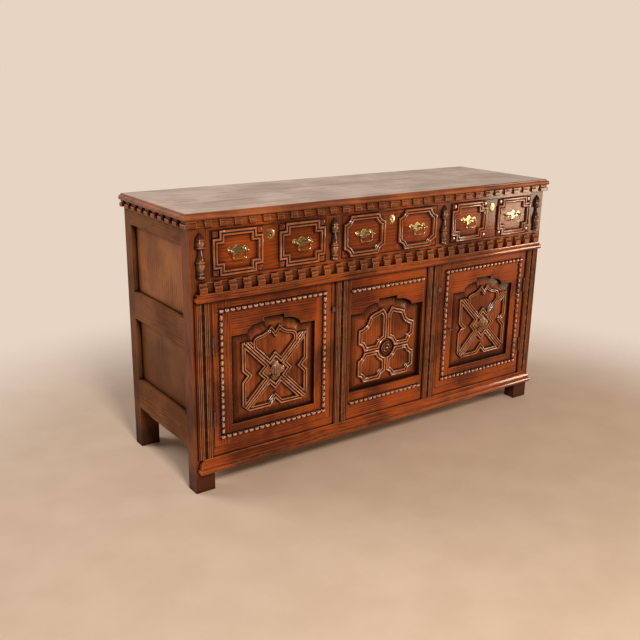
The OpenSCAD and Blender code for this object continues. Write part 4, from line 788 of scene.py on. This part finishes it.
# %% Beads round the doors
BEAD_IN_X, BEAD_IN_Z = 28.0, 31.0
PITCHES_ACROSS, PITCHES_UP = 19, 20
across, up = (DOOR_W - 2 * BEAD_IN_X) / PITCHES_ACROSS, (DOOR_H - 2 * BEAD_IN_Z) / PITCHES_UP
level_row, upright_row = lying(bead_row(PITCHES_ACROSS + 1, across)), bead_row(PITCHES_UP - 1, up)
door_beads = [level_row.moved(DOOR_X + BEAD_IN_X, 0, DOOR_Z + z) for z in (BEAD_IN_Z, DOOR_H - BEAD_IN_Z)]
door_beads += [upright_row.moved(DOOR_X + x, 0, DOOR_Z + BEAD_IN_Z + up)
               for x in (BEAD_IN_X, DOOR_W - BEAD_IN_X)]
piece("beads_door_left", "door_left", bead_oak, door_beads, ["door_beads_left"])
piece("beads_door_right", "door_right", bead_oak, [b.mirrored() for b in door_beads],
      ["door_beads_right"])

# %% Beads over and under the centre panel
CENTRE_X = POST_W + DOOR_OPEN_W + DOOR_MUNTIN_W
CENTRE_W = CASE_W - 2 * CENTRE_X
CENTRE_BEADS = 16
centre_pitch = CENTRE_W / CENTRE_BEADS
bead_low, bead_high = box_mm("centre_beads")
piece("beads_centre", "case", bead_oak,
      [lying(bead_row(CENTRE_BEADS, centre_pitch)).moved(CENTRE_X + centre_pitch / 2, 0, z)
       for z in (bead_low[2] + BEAD_R, bead_high[2] - BEAD_R)], ["centre_beads"])

# %% [markdown]
# ## Raised panels
# A raised and fielded panel is one board whose rim is planed down to a slope, so that a flat field stands
# up in the middle. Its outline follows the opening: shoulders, a quarter arch, and a flat crown. A bevel
# on a flat face would give a slope of one width only, and here it is narrower under the crown. So the
# shape is a stack of outlines with as many points each, from the tongue in the groove to the field.

# %% Arched outline and raised panel
TONGUE_T, TONGUE_IN, RIM_GAP, FIELD_STEP, SLOPE_SAG = 6.0, 5.5, 0.3, 1.3, 1.1


def arch(hw, z0, z_shoulder, z_arc, z_crown, shoulder_w, flat, points=14):
    """Right side up from the foot, the quarter ellipse, the step to the crown, and the mirror image."""
    a = np.linspace(0, math.pi / 2, points)
    rx, rz = hw - shoulder_w - flat, z_arc - z_shoulder
    quarter = np.stack([flat + rx * np.cos(a), z_shoulder + rz * np.sin(a)], 1)
    right = np.vstack([[hw, z0], [hw, z_shoulder], quarter, [flat, z_crown]])
    return np.vstack([right, flipped(right)])


def raised_panel(opening, field, tongue_y, field_y):
    """Outlines from back to front: tongue, opening, a slope a little hollow, a small step, and the field."""
    tongue, rim = inset(opening, -TONGUE_IN), inset(opening, RIM_GAP)
    head = field_y + FIELD_STEP
    stack = [(tongue, tongue_y + TONGUE_T), (tongue, tongue_y), (rim, tongue_y)]
    for share in (0.25, 0.5, 0.75, 0.97):
        sag = SLOPE_SAG * math.sin(math.pi * share)
        stack.append((rim + (field - rim) * share, tongue_y + (head - tongue_y) * share + sag))
    stack += [(rim + (field - rim) * 0.985, field_y + 0.35), (field, field_y)]
    rows = np.stack([np.stack([p[:, 0], np.full(len(p), y), p[:, 1]], 1) for p, y in stack])
    return grid(rows, closed=True, caps=True)


# %% Door panels
BEVEL_W, SHOULDER_W, CROWN_HW = 34.0, 57.0, 39.0
DOOR_LOW, DOOR_SHOULDER, DOOR_ARC, DOOR_CROWN = 64.0, 362.0, 392.0, 405.0
DOOR_TONGUE_Y, DOOR_FIELD_Y = 10.0, 1.0
door_opening = arch(DOOR_HW, DOOR_LOW, DOOR_SHOULDER, DOOR_ARC, DOOR_CROWN, SHOULDER_W, CROWN_HW)
door_field_z0 = DOOR_LOW + BEVEL_W
door_field_h = DOOR_CROWN - 0.735 * BEVEL_W - door_field_z0
door_field = arch(DOOR_HW - BEVEL_W, door_field_z0, DOOR_SHOULDER - BEVEL_W, DOOR_ARC - 0.82 * BEVEL_W,
                  door_field_z0 + door_field_h, SHOULDER_W - 0.62 * BEVEL_W, CROWN_HW - 0.235 * BEVEL_W)
door_mid = DOOR_X + DOOR_W / 2
door_panel = raised_panel(door_opening, door_field, DOOR_TONGUE_Y, DOOR_FIELD_Y).moved(door_mid, 0, DOOR_Z)
piece("panel_door_left", "door_left", panel_oak, [door_panel], ["door_panel_left"], sharp=8)
piece("panel_door_right", "door_right", panel_oak, [door_panel.mirrored()], ["door_panel_right"],
      sharp=8)

# %% Centre panel
CENTRE_HW = CENTRE_W / 2
CENTRE_LOW, CENTRE_SHOULDER, CENTRE_ARC, CENTRE_CROWN = 212.0, 498.0, 527.0, 540.0
CENTRE_TONGUE_Y, CENTRE_FIELD_Y = 15.0, 7.0
centre_opening = arch(CENTRE_HW, CENTRE_LOW, CENTRE_SHOULDER, CENTRE_ARC, CENTRE_CROWN, SHOULDER_W - 3,
                      CROWN_HW + 3)
centre_field_z0 = CENTRE_LOW + 0.7 * BEVEL_W
centre_field_h = CENTRE_CROWN - 0.85 * BEVEL_W - centre_field_z0
centre_field = arch(CENTRE_HW - BEVEL_W, centre_field_z0, CENTRE_SHOULDER - 0.88 * BEVEL_W,
                    CENTRE_ARC - 0.85 * BEVEL_W, centre_field_z0 + centre_field_h,
                    SHOULDER_W - 0.47 * BEVEL_W, CROWN_HW - 0.15 * BEVEL_W)
centre_panel = raised_panel(centre_opening, centre_field, CENTRE_TONGUE_Y, CENTRE_FIELD_Y)
piece("panel_centre", "case", centre_oak, [centre_panel.moved(CASE_W / 2)], ["centre_panel"], sharp=8)

# %% [markdown]
# ## Mouldings of the doors
# The cross on each door is a moulding mitred round four cells, with the thin ends of its arms sawn off:
# the lower ones nearly square to the arm, the upper ones level. The outlines are drawn about the boss
# where the arms meet and then fitted to the real field. Two cells share each arm, so their edges along it
# stand a hair off its middle line and leave the thin dark joint that mitred work shows there.

# %% The arms of the cross
DOOR_MOULD_W, ARCH_MOULD_W, DOOR_MOULD_H = 17.5, 14.0, 9.5
DRAWN_HW, DRAWN_H, DRAWN_W, DRAWN_LOW = 125.0, 282.0, 125.5, 122.0
ARM_IN, ARM_GAP, ARM_CUT, ARM_LEAN, ARM_TOP, UPPER_IN = 22.0, 0.6, 27.0, 3.5, 114.0, 83.0
ARM = np.array([DRAWN_W - 14.5 - ARM_IN, DRAWN_LOW - 10 - ARM_IN])


def on_arm(off, x=None, z=None):
    """Point on a line beside the arm's middle line: at its inner end, or where it passes an x or a z."""
    start = np.array([ARM_IN, ARM_IN]) + off * np.array([-ARM[1], ARM[0]]) / np.linalg.norm(ARM)
    if x is not None:
        return start + (x - start[0]) / ARM[0] * ARM
    if z is not None:
        return start + (z - start[1]) / ARM[1] * ARM
    return start


print("arm of the cross leans", round(math.degrees(math.atan2(ARM[1], ARM[0])), 1), "degrees")

# %% Side and lower cells
FLIP_X, FLIP_Z = np.array([-1.0, 1.0]), np.array([1.0, -1.0])
BOSS_CORNER, SIDE_POINT, LOW_POINT, LOW_POINT_HW = 44.0, 19.0, 22.0, 20.0
inner, outer = on_arm(-ARM_GAP), on_arm(-ARM_GAP, x=DRAWN_W)
side_cell = np.array([-outer, -inner, [-BOSS_CORNER, 0], inner * FLIP_X, outer * FLIP_X,
                      [-DRAWN_W, SIDE_POINT], [SIDE_POINT - DRAWN_W, 0], [-DRAWN_W, -SIDE_POINT]])
inner, outer = on_arm(ARM_GAP), on_arm(ARM_GAP, z=DRAWN_LOW)
lower_cell = np.array([-outer, [-LOW_POINT_HW, -DRAWN_LOW], [0, LOW_POINT - DRAWN_LOW],
                       [LOW_POINT_HW, -DRAWN_LOW], outer * FLIP_Z, inner * FLIP_Z, [0, -BOSS_CORNER],
                       -inner])
print("corners:", len(side_cell), "of a side cell,", len(lower_cell), "of the lower cell")

# %% Upper cell, thinner under the arch
upper_border = softened([[UPPER_IN, 106], [UPPER_IN - 2, 118], [70, 126], [45, 131], [28, 140],
                         [15, 155]], 1)
upper_half = np.vstack([[0, BOSS_CORNER], inner, on_arm(ARM_GAP, x=UPPER_IN), upper_border, [0, 134]])
upper_cell = np.vstack([upper_half, upper_half[-2:0:-1] * FLIP_X])
upper_shares = np.full(len(upper_cell), ARCH_MOULD_W / DOOR_MOULD_W)
upper_shares[[0, 1, -2, -1]] = 1.0
print("corners of the upper cell:", len(upper_cell))

# %% [markdown]
# The boss where the arms cross is carved from its own block: four broad leaves and a bud standing over
# them. It is too small in the photograph to be read with certainty, so it is plain leaf work. The leaves
# are one height over a round grid, as a carver would model them from one block, and the bud is turned
# with a wave on its radius for the gadroons.

# %% Carved boss of a door
LEAF_L, BUD_L, BUD_R_SHARE, BUD_DOWN_SHARE = 44.0, 54.0, 0.34, 0.42
GADROONS, GADROON_DEPTH = 14, 0.11
BUD = np.array([[0, 0], [0.36, 0.02], [0.62, 0.1], [0.7, 0.17], [0.6, 0.23], [0.84, 0.3], [1, 0.42],
                [0.98, 0.55], [0.8, 0.7], [0.5, 0.85], [0.2, 0.96], [0, 1]])


def leaf_plate(face_y, top_y, rings=14, around=128):
    """Four broad leaves, radius 0.5 + 0.4 |cos 2a|^0.8 of the leaf length, the side ones the longest. Each
    is round across, by the root of |cos 2a|, has veins sunk where sin 4a is near 0, and falls to its tip."""
    a = np.arange(around) * 2 * math.pi / around
    radius = LEAF_L * (0.5 + 0.4 * np.abs(np.cos(2 * a)) ** 0.8 * (0.8 + 0.2 * np.cos(a) ** 2))
    s = np.linspace(1, 0, rings)[:, None]
    across = 0.3 + 0.7 * np.abs(np.cos(2 * a)) ** 0.5
    vein = 0.3 * np.exp(-((np.abs(np.sin(4 * a)) / 0.3) ** 2)) * np.sin(math.pi * s) ** 0.7
    height = (face_y - top_y) * np.clip(1.2 - s ** 3, 0, 1) ** 0.5 * (across - vein)
    height = np.vstack([np.zeros((1, around)), height])
    reach = np.vstack([np.ones((1, 1)), s])
    x, z = reach * radius * np.cos(a), reach * radius * np.sin(a)
    return grid(np.stack([x, face_y - height, z], -1), closed=True)


def door_boss():
    """Leaves flat on the field and an upright gadrooned bud over them."""
    top_y = -0.9 * DOOR_MOULD_H
    profile = softened(BUD * [BUD_R_SHARE * BUD_L, BUD_L])
    bud = half_turned(profile, segments=60, flutes=GADROONS, depth=GADROON_DEPTH)
    return [leaf_plate(DOOR_FIELD_Y, top_y), bud.moved(0, top_y, -BUD_DOWN_SHARE * BUD_L)]


# %% Door mouldings in place
CROSSING_SHARE = 0.4326


def door_ornament():
    """Rings round the cells, fitted to the real field, with the arms' ends sawn off."""
    fit = np.array([(DOOR_HW - BEVEL_W) / DRAWN_HW, door_field_h / DRAWN_H])
    k = fit.min()
    section = ridges(k * DOOR_MOULD_W, DOOR_MOULD_H)
    low_end = ARM_CUT - ARM_LEAN - DRAWN_LOW
    low = np.array([[DRAWN_W - ARM_CUT, -DRAWN_LOW - 1], [DRAWN_W + 1, low_end]]) * fit
    high = np.array([[DRAWN_W, ARM_TOP], [0, ARM_TOP]]) * fit

    def saw(line):
        """Cut along a line between two points, which takes off what is on its right."""
        step = line[1] - line[0]
        normal = np.array([step[1], 0, -step[0]]) / np.linalg.norm(step)
        return [line[0][0], 0, line[0][1]], normal

    side = moulding(lambda d: inset(flipped(side_cell) * fit, d), section, DOOR_FIELD_Y)
    side.cuts = [saw(low), saw(high)]
    lower = moulding(lambda d: inset(lower_cell * fit, d), section, DOOR_FIELD_Y)
    cut = saw(low)
    lower.cuts = [cut, (np.multiply(cut[0], [-1, 1, 1]), np.multiply(cut[1], [-1, 1, 1]))]
    upper = moulding(lambda d: inset(upper_cell * fit, d, upper_shares), section, DOOR_FIELD_Y)
    start, end = on_arm(ARM_GAP, x=UPPER_IN - 30), on_arm(ARM_GAP, x=DRAWN_W + 20)
    beside = np.array([start[1] - end[1], end[0] - start[0]]) / np.linalg.norm(end - start)
    flat = [(end_point + section[:, :1] * beside) * fit for end_point in (start, end)]
    rows = [np.stack([p[:, 0], DOOR_FIELD_Y - section[:, 1], p[:, 1]], 1) for p in flat]
    stub = grid(np.array(rows), closed=True, caps=True)
    stub.cuts = [saw(high), ([UPPER_IN * fit[0], 0, 0], [-1, 0, 0])]
    return [side, side.mirrored(0), lower, upper, stub, stub.mirrored(0)]


boss_z = DOOR_Z + door_field_z0 + CROSSING_SHARE * door_field_h
cross = [form.moved(door_mid, 0, boss_z) for form in door_ornament()]
boss = [form.moved(door_mid, 0, boss_z) for form in door_boss()]
piece("cross_door_left", "door_left", carved_oak["door"], cross,
      ["door_mouldings_left"])
piece("cross_door_right", "door_right", carved_oak["door"],
      [f.mirrored() for f in cross], ["door_mouldings_right"])
piece("boss_door_left", "door_left", boss_oak, boss)
piece("boss_door_right", "door_right", boss_oak, [f.mirrored() for f in boss])

# %% [markdown]
# ## Centre panel mouldings
# Four cells stand round a flower boss. Their corners are hollow, scooped in towards the corner point by
# a short curve, as a gouge leaves it. The left cells are drawn and the right ones are their mirror
# image, so one drawing serves both.


# %% Centre cells
def scooped(p, c, q):
    """Hollow corner from p to q: a curve pulled from the corner c almost to the far side, in four steps."""
    p, c, q = np.asarray(p, float), np.asarray(c, float), np.asarray(q, float)
    t = np.linspace(0, 1, 5)[:, None]
    pull = c + 0.85 * (p + q - 2 * c)
    return (1 - t) ** 2 * p + 2 * t * (1 - t) * pull + t ** 2 * q


centre_upper = np.vstack([
    scooped((-35, 1), (-1, 1), (-1, 35)), [-1, 125], [-20, 151], [-40, 142], [-60, 137], [-78, 128],
    scooped((-84, 114), (-127, 114), (-127, 84)), scooped((-127, 31), (-127, 1), (-101, 1))])
centre_lower = np.vstack([
    scooped((-27, -114), (-1, -114), (-1, -88)), scooped((-1, -35), (-1, -1), (-35, -1)),
    scooped((-101, -1), (-127, -1), (-127, -28)), scooped((-127, -88), (-127, -114), (-102, -114))])
print("points of the centre cells:", len(centre_upper), len(centre_lower))

# %% [markdown]
# The flower is small, so it is one height over a round grid: the largest of three forms counts at each
# point, a rim, the petals and a domed heart. Separate petals would leave seams that nobody carves.

# %% Flower boss
BOSS_R, BOSS_H, CENTRE_MOULD_W, CENTRE_MOULD_H = 24.0, 11.5, 20.0, 8.5


def flower(radius, face_y, height, petals=8, rings=26, around=96):
    """Polar height: a round rim, eight petals with a dip down each, and a domed heart."""
    a = np.arange(around) * 2 * math.pi / around
    s = np.linspace(1, 0, rings)[:, None]
    rim = np.exp(-((s - 0.88) / 0.075) ** 2)
    lobe = np.abs(np.cos(petals / 2 * a)) ** 0.6
    dip = 0.35 * np.exp(-(np.abs(np.sin(petals / 2 * a)) / 0.25) ** 2)
    petal = np.exp(-((s - 0.52) / 0.24) ** 4) * (0.35 + 0.65 * lobe) * (1 - dip)
    heart = np.clip(1 - (s / 0.26) ** 2, 0, 1) ** 0.5 * 1.15
    top = np.maximum(0.3, np.maximum(np.maximum(0.8 * rim, 0.9 * petal), heart)) * np.ones(around)
    top = np.vstack([np.zeros((1, around)), top]) * height
    reach = np.vstack([np.ones((1, 1)), s]) * radius
    return grid(np.stack([reach * np.cos(a), face_y - top, reach * np.sin(a)], -1), closed=True)


# %% Centre mouldings in place
CENTRE_DRAWN_HW, CENTRE_DRAWN_H, CENTRE_BOSS_SHARE = 131.0, 275.0, 0.42
centre_fit = np.array([(CENTRE_HW - BEVEL_W) / CENTRE_DRAWN_HW, centre_field_h / CENTRE_DRAWN_H])
centre_section = ridges(centre_fit.min() * CENTRE_MOULD_W, CENTRE_MOULD_H)
centre_forms = []
for cell in (centre_upper, centre_lower):
    for path in (cell * centre_fit, flipped(cell * centre_fit)):
        centre_forms.append(moulding(lambda d, path=path: inset(path, d), centre_section, CENTRE_FIELD_Y))
centre_forms.append(flower(centre_fit.min() * BOSS_R, CENTRE_FIELD_Y, BOSS_H))
centre_boss_z = centre_field_z0 + CENTRE_BOSS_SHARE * centre_field_h
piece("centre_mouldings_carved", "case", carved_oak["centre"],
      [form.moved(CASE_W / 2, 0, centre_boss_z) for form in centre_forms], ["centre_mouldings"])

# %% [markdown]
# ## Drawer mouldings
# Each drawer front is divided into two panels by mitred mouldings. On the side drawers the frames step in
# square at the corners, with a small raised block in each notch. On the centre drawer the corners are
# hollow quarter rounds: the outline moved in by a distance d has a round of radius r + d about the same
# corner, which starts where the moved straight edge meets it. It is worked out anew for each distance,
# because its ends would otherwise run past the straight edges.

# %% Sizes of the drawers' panels
DRAWER_W = DRAWER_OPEN_W - 2 * DRAWER_GAP
DRAWER_MOULD_W, DRAWER_MOULD_H, EAR, HOLLOW_R = 20.0, 9.5, 23.0, 27.0
LOCK_STRIP_W, END_STRIP_W, LEVEL_STRIP_H = 59.0, 4.0, 1.5
front_low, front_high = box_mm("drawer_front_left")
drawer_mid_z = (front_low[2] + front_high[2]) / 2
PANEL_HW = ((DRAWER_W - LOCK_STRIP_W) / 2 - END_STRIP_W) / 2
PANEL_HH = (front_high[2] - front_low[2]) / 2 - LEVEL_STRIP_H
panel_centre = DRAWER_W / 2 - END_STRIP_W - PANEL_HW
print("drawer panel", 2 * PANEL_HW, "x", round(2 * PANEL_HH, 1), "mm")


# %% Drawer frames
def eared(w, h, e):
    """Rectangle with a square notch of side e in each corner."""
    right = np.array([[w - e, -h], [w - e, e - h], [w, e - h], [w, h - e], [w - e, h - e], [w - e, h]])
    return np.vstack([right, flipped(right)])


def hollowed(w, h, r, d, steps=9):
    """Rectangle with hollow quarter rounds about its corners, moved in by d."""
    lean = math.asin(d / (r + d))
    turn = np.linspace(math.pi - lean, math.pi / 2 + lean, steps)
    low_right = np.stack([w + (r + d) * np.cos(turn), -h + (r + d) * np.sin(turn)], 1)
    right = np.vstack([low_right, low_right[::-1] * FLIP_Z])
    return np.vstack([right, flipped(right)])


def corner_block(size, height):
    """Raised block with a chamfered, slightly rounded top: squares that shrink as they rise."""
    levels = [(0, 0), (0, 0.45), (0.04, 0.62), (0.16, 0.92), (0.22, 1)]
    half = np.array([[size / 2 * (1 - 2 * i), -height * y] for i, y in levels])
    square = np.array([[-1, -1], [1, -1], [1, 1], [-1, 1]])
    rows = np.stack([np.stack([square[:, 0] * s, np.full(4, y), square[:, 1] * s], 1) for s, y in half])
    return grid(rows, closed=True, caps=True)


def drawer_frames(side_name):
    """One panel's ring of moulding, with its corner blocks on the side drawers."""
    section = ridges(DRAWER_MOULD_W, DRAWER_MOULD_H)
    if side_name == "centre":
        return [moulding(lambda d: hollowed(PANEL_HW, PANEL_HH, HOLLOW_R, d), section, 0)]
    frame_ring = moulding(lambda d: inset(eared(PANEL_HW, PANEL_HH, EAR), d), section, 0)
    block = corner_block(EAR - 2, 0.6 * DRAWER_MOULD_H)
    x, z = PANEL_HW - EAR / 2, PANEL_HH - EAR / 2
    return [frame_ring] + [block.moved(sx * x, 0, sz * z) for sx in (-1, 1) for sz in (-1, 1)]


# %% [markdown]
# ## Drawer handles and key plates
# A handle is a shaped plate, two posts that end in balls, and a bail that swings from them. The plate's
# rim is filed to a slope. The key plate is an oval with a low dome, pierced by the keyhole: each point is
# a mix of the keyhole's outline and the oval's in the same direction, so no hole has to be cut.

# %% Plate and posts of a handle
PLATE_T, RIM_FILED, HANDLE_SPAN, HANDLE_REACH, HEAD_R = 1.2, 0.7, 58.0, 15.0, 4.6
POST_STEM = [[0, 0.2], [5.2, 0.2], [5.4, 2.0], [4.2, 3.0], [2.6, 3.6], [2.2, 5.5], [2.3, 9.5]]
PLATE_HALF = np.array([[0, -15], [5, -16.5], [9, -14], [11, -9], [16, -6], [22, -8.5], [28, -6], [33, -1],
                       [38, -2], [37, 5], [31, 10], [26, 14], [22, 9], [16, 6], [12, 10], [8, 13], [5, 16],
                       [0, 19]])


def handle_plate():
    """Outline softened once, and a filed rim: full size at the back, drawn in at the front."""
    whole = softened(np.vstack([PLATE_HALF, PLATE_HALF[-2:0:-1] * FLIP_X]), 1, closed=True)
    stack = [(0, 0), (0, 0.5 * PLATE_T), (RIM_FILED, PLATE_T)]
    rows = np.stack([np.stack([p[:, 0], np.full(len(p), -h), p[:, 1]], 1)
                     for p, h in ((inset(whole, d), h) for d, h in stack)])
    return grid(rows, closed=True, caps=True)


def turned_out(profile, segments=20):
    """Turned shape that stands out from the face: radius and distance in front of it."""
    a = np.arange(segments) * 2 * math.pi / segments
    profile = np.asarray(profile, float)
    x, z = profile[:, :1] * np.cos(a), profile[:, :1] * np.sin(a)
    return grid(np.stack([x, np.broadcast_to(-profile[:, 1:], x.shape), z], -1), closed=True)


def handle_post():
    """Foot, stem and ball: the ball's radius is sin, its distance -cos of the same angle."""
    turn = np.linspace(0.52, math.pi, 12)
    ball = np.stack([HEAD_R * np.sin(turn), HANDLE_REACH - HEAD_R * np.cos(turn)], 1)
    return turned_out(np.vstack([POST_STEM, ball]))


# %% Key plate
KEY_PLATE_W, KEY_PLATE_H, KEYHOLE_R, KEYHOLE_SLOT_L, KEYHOLE_SLOT_HW = 27.0, 33.0, 2.4, 7.0, 1.2
KEY_PLATE_DOME = np.array([[0, 0], [0, 1.7], [0.12, 2.0], [0.3, 1.9], [0.5, 1.7], [0.7, 1.4], [0.86, 1.2],
                           [0.93, 1.0], [1, 0.7], [1, 0]])


def key_plate(points=64):
    """Keyhole and oval outlines mixed by the share of the dome's first column, at the height of its second.
    The oval's radius is 1 / sqrt((cos a / half width)^2 + (sin a / half height)^2)."""
    a = np.arange(points) * 2 * math.pi / points
    down, side = np.maximum(-np.sin(a), 1e-6), np.maximum(np.abs(np.cos(a)), 1e-6)
    slot = np.where(np.sin(a) < 0, np.minimum(KEYHOLE_SLOT_L / down, KEYHOLE_SLOT_HW / side), 0)
    hole = np.maximum(KEYHOLE_R, slot)[None, :]
    oval = (np.cos(a) / (KEY_PLATE_W / 2)) ** 2 + (np.sin(a) / (KEY_PLATE_H / 2)) ** 2
    rim = (1 / np.sqrt(oval))[None, :]
    share, up = KEY_PLATE_DOME[:, :1], KEY_PLATE_DOME[:, 1:]
    radius = hole + (rim - hole) * share
    rings = np.stack([radius * np.cos(a), -up * np.ones(points), radius * np.sin(a)], -1)
    return grid(rings, around=True, closed=True)


# %% Bail
BAIL_DROP, BAIL_R, BAIL_PLAY, BAIL_SWELL = 25.0, 1.7, 0.4, 0.35


def bail_form():
    """Round wire along a softened path: points on circles square to the path, thicker at the bottom."""
    x = HANDLE_SPAN / 2 - HEAD_R - BAIL_PLAY - BAIL_R
    d = BAIL_DROP
    half = np.array([[x + 2.4, 0], [x, -0.1], [x, -0.28 * d], [x + 1.6, -0.5 * d], [x + 1.4, -0.74 * d],
                     [x - 1.5, -0.92 * d], [x - 6, -d], [x - 14, -0.96 * d], [0, -0.93 * d]])
    path = softened(np.vstack([half, half[-2::-1] * FLIP_X]), 2)
    along = np.gradient(path, axis=0)
    along /= np.linalg.norm(along, axis=1)[:, None]
    a = np.arange(12) * 2 * math.pi / 12
    swell = BAIL_R * (1 + BAIL_SWELL * np.exp(-(path[:, :1] / 8) ** 2))
    x = path[:, :1] - along[:, 1:] * swell * np.cos(a)
    z = path[:, 1:] + along[:, :1] * swell * np.cos(a)
    return grid(np.stack([x, swell * np.sin(a), z], -1), closed=True, caps=True)


# %% Drawer ornament in place
HANDLE_UP, KEY_PLATE_UP = 4.0, 42.0
plate_z = drawer_mid_z + HANDLE_UP
for i, side_name in enumerate(SIDES):
    body = "drawer_" + side_name
    middle = POST_W + i * (DRAWER_OPEN_W + DRAWER_MUNTIN_W) + DRAWER_OPEN_W / 2
    panel_xs = (middle - panel_centre, middle + panel_centre)
    frames = [form.moved(x, 0, drawer_mid_z) for x in panel_xs for form in drawer_frames(side_name)]
    piece("frames_" + body, body, carved_oak["drawer"], frames,
          ["drawer_mouldings_" + side_name])
    brasses = [key_plate().moved(middle, 0, drawer_mid_z + KEY_PLATE_UP)]
    for j, x in enumerate(panel_xs):
        brasses.append(handle_plate().moved(x, 0, plate_z))
        brasses += [handle_post().moved(x + t * HANDLE_SPAN / 2, 0, plate_z) for t in (-1, 1)]
        bail_name = "bail_%d" % (2 * i + j + 1)
        piece("handle_" + bail_name, bail_name, brass,
              [bail_form().moved(x, -HANDLE_REACH, plate_z)], [bail_name])
    piece("brasses_" + body, body, brass, brasses, ["drawer_brasses_" + side_name])

# %% [markdown]
# ## Fillets inside the cupboard
# A quarter-round fillet lies on the floor boards along each side and closes the joint under the side's
# lower rail, so that no light comes in there. It is one section carried from post to post, and its place
# is read off the pieces that it lies against.

# %% Floor fillets
FILLET_W, FILLET_H = 10.0, 14.0
rail_face, floor_top = box_mm("side_rails_left")[1][0], box_mm("floor_boards")[1][2]
post_faces = box_mm("front_post_left")[1][1], box_mm("rear_post_left")[0][1]


def floor_fillet():
    """Quarter ellipse, width cos and height sin, between two points in y."""
    turn = np.linspace(0, math.pi / 2, 9)
    quarter = np.stack([FILLET_W * np.cos(turn), FILLET_H * np.sin(turn)], 1)
    outline = np.vstack([[0, 0], quarter]) + [rail_face, floor_top]
    return grid(np.array([[[x, y, z] for x, z in outline] for y in post_faces]), closed=True, caps=True)


fillet = floor_fillet()
piece("floor_fillets", "case", raw_oak["y"], [fillet, fillet.mirrored()])
print("fillets on the floor at", round(floor_top, 1), "against the rail at", round(rail_face, 1))

# %% [markdown]
# ## Floor and light
# The floor is plain and pale and fades into a pale background. There is a soft lamp over the front, one
# to the right whose reflection slides over the right end of the front, as in the photograph, and a weaker
# one behind, which draws the top's far edge. The pale wall is only seen by the camera and in reflections,
# so it lights nothing, and a weak fill from all sides keeps the shadows soft.

# %% Floor
FLOOR_R, FADE_MIDDLE, FADE_FROM, FADE_TO = 9.0, (-0.3, -0.6, 0), 1.2, 2.35
FLOOR_DARK, FLOOR_PALE = (0.65, 0.475, 0.345), (0.70, 0.52, 0.385)
floor_mesh = bpy.data.meshes.new("floor")
corners = [(x * FLOOR_R, y * FLOOR_R, 0) for x, y in ((-1, -1), (1, -1), (1, 1), (-1, 1))]
floor_mesh.from_pydata(corners, [], [(0, 1, 2, 3)])
floor = bpy.data.objects.new("floor", floor_mesh)
bpy.context.scene.collection.objects.link(floor)
pale = Finish("pale_floor")
floor_at, _ = pale.place()
clouds = pale.noise(pale.scaled(floor_at, 6.0), 5.0)
floor_colour = pale.mix(clouds.ramp(0.3, 0.7), FLOOR_DARK, FLOOR_PALE)
away = pale.node("VectorMath", {"operation": "DISTANCE"}, {0: floor_at, 1: FADE_MIDDLE}, output="Value")
grit = pale.bump(0.1, 0.001, clouds)
floor_mesh.materials.append(pale.surface(floor_colour, clouds * 0.1 + 0.62, grit,
                                         Alpha=away.ramp(FADE_FROM, FADE_TO, 1.0, 0.0)))
print("floor fades out between", FADE_FROM, "and", FADE_TO, "m from", FADE_MIDDLE)

# %% World: soft fill for the object, a pale wall for the camera and for reflections
FILL, FILL_STRENGTH = (1.0, 0.95, 0.88, 1), 0.17
WALL, DARK_ROOM = (0.80, 0.66, 0.546, 1), (0.05, 0.035, 0.025, 1)
world = bpy.data.worlds.new("studio")
bpy.context.scene.world = world
world.use_nodes = True
air = Finish("studio", world.node_tree)
seen, glossy, through = [air.node("LightPath", output="Is %s Ray" % kind)
                         for kind in ("Camera", "Glossy", "Transmission")]
look = air.node("TexCoord", output="Generated")
toward_back = air.node("SeparateXYZ", None, {"Vector": look}, output="Y").ramp(-0.15, 0.45, 0.05, 1.0)
mirrored_ray = glossy.maths("MAXIMUM", through)
shown = seen.maths("MAXIMUM", mirrored_ray * toward_back)
fill = air.node("Background", None, {"Color": FILL, "Strength": FILL_STRENGTH})
wall = air.node("Background", None, {"Color": WALL, "Strength": 1.0})
dark_room = air.node("Background", None, {"Color": DARK_ROOM, "Strength": 1.0})
unseen = air.node("MixShader", None, {0: mirrored_ray, 1: fill, 2: dark_room})
air.node("OutputWorld", None, {"Surface": air.node("MixShader", None, {0: shown, 1: unseen, 2: wall})})
print("world:", world.name, "with a fill of", FILL_STRENGTH)


# %% Lamps
def soft_lamp(name, at, target, size, watts, colour):
    """Area lamp turned to its target: it looks down at rest, so it tips up by 90 degrees and the pitch, and
    then turns back by the yaw from the y axis."""
    data = bpy.data.lights.new(name, "AREA")
    data.shape = "RECTANGLE"
    data.size, data.size_y = size
    data.energy = watts
    data.color = colour
    lamp = bpy.data.objects.new(name, data)
    lamp.location = at
    direction = np.subtract(target, at)
    yaw = math.atan2(direction[0], direction[1])
    pitch = math.atan2(direction[2], math.hypot(direction[0], direction[1]))
    lamp.rotation_euler = Euler((math.pi / 2 + pitch, 0, -yaw))
    bpy.context.scene.collection.objects.link(lamp)
    print(name, "at", at, "with", watts, "watts")


soft_lamp("front_lamp", at=(-1.2, -2.9, 2.5), target=(0, 0, 0.45), size=(0.7, 0.7), watts=96,
          colour=(1.0, 0.95, 0.87))
soft_lamp("right_lamp", at=(3.0, -2.1, 0.6), target=(0.7, -0.2, 0.6), size=(0.75, 0.85), watts=56,
          colour=(1.0, 0.80, 0.58))
soft_lamp("back_lamp", at=(-2.4, 1.8, 2.4), target=(0, 0, 0.6), size=(1.6, 1.6), watts=50,
          colour=(0.96, 0.97, 1.0))
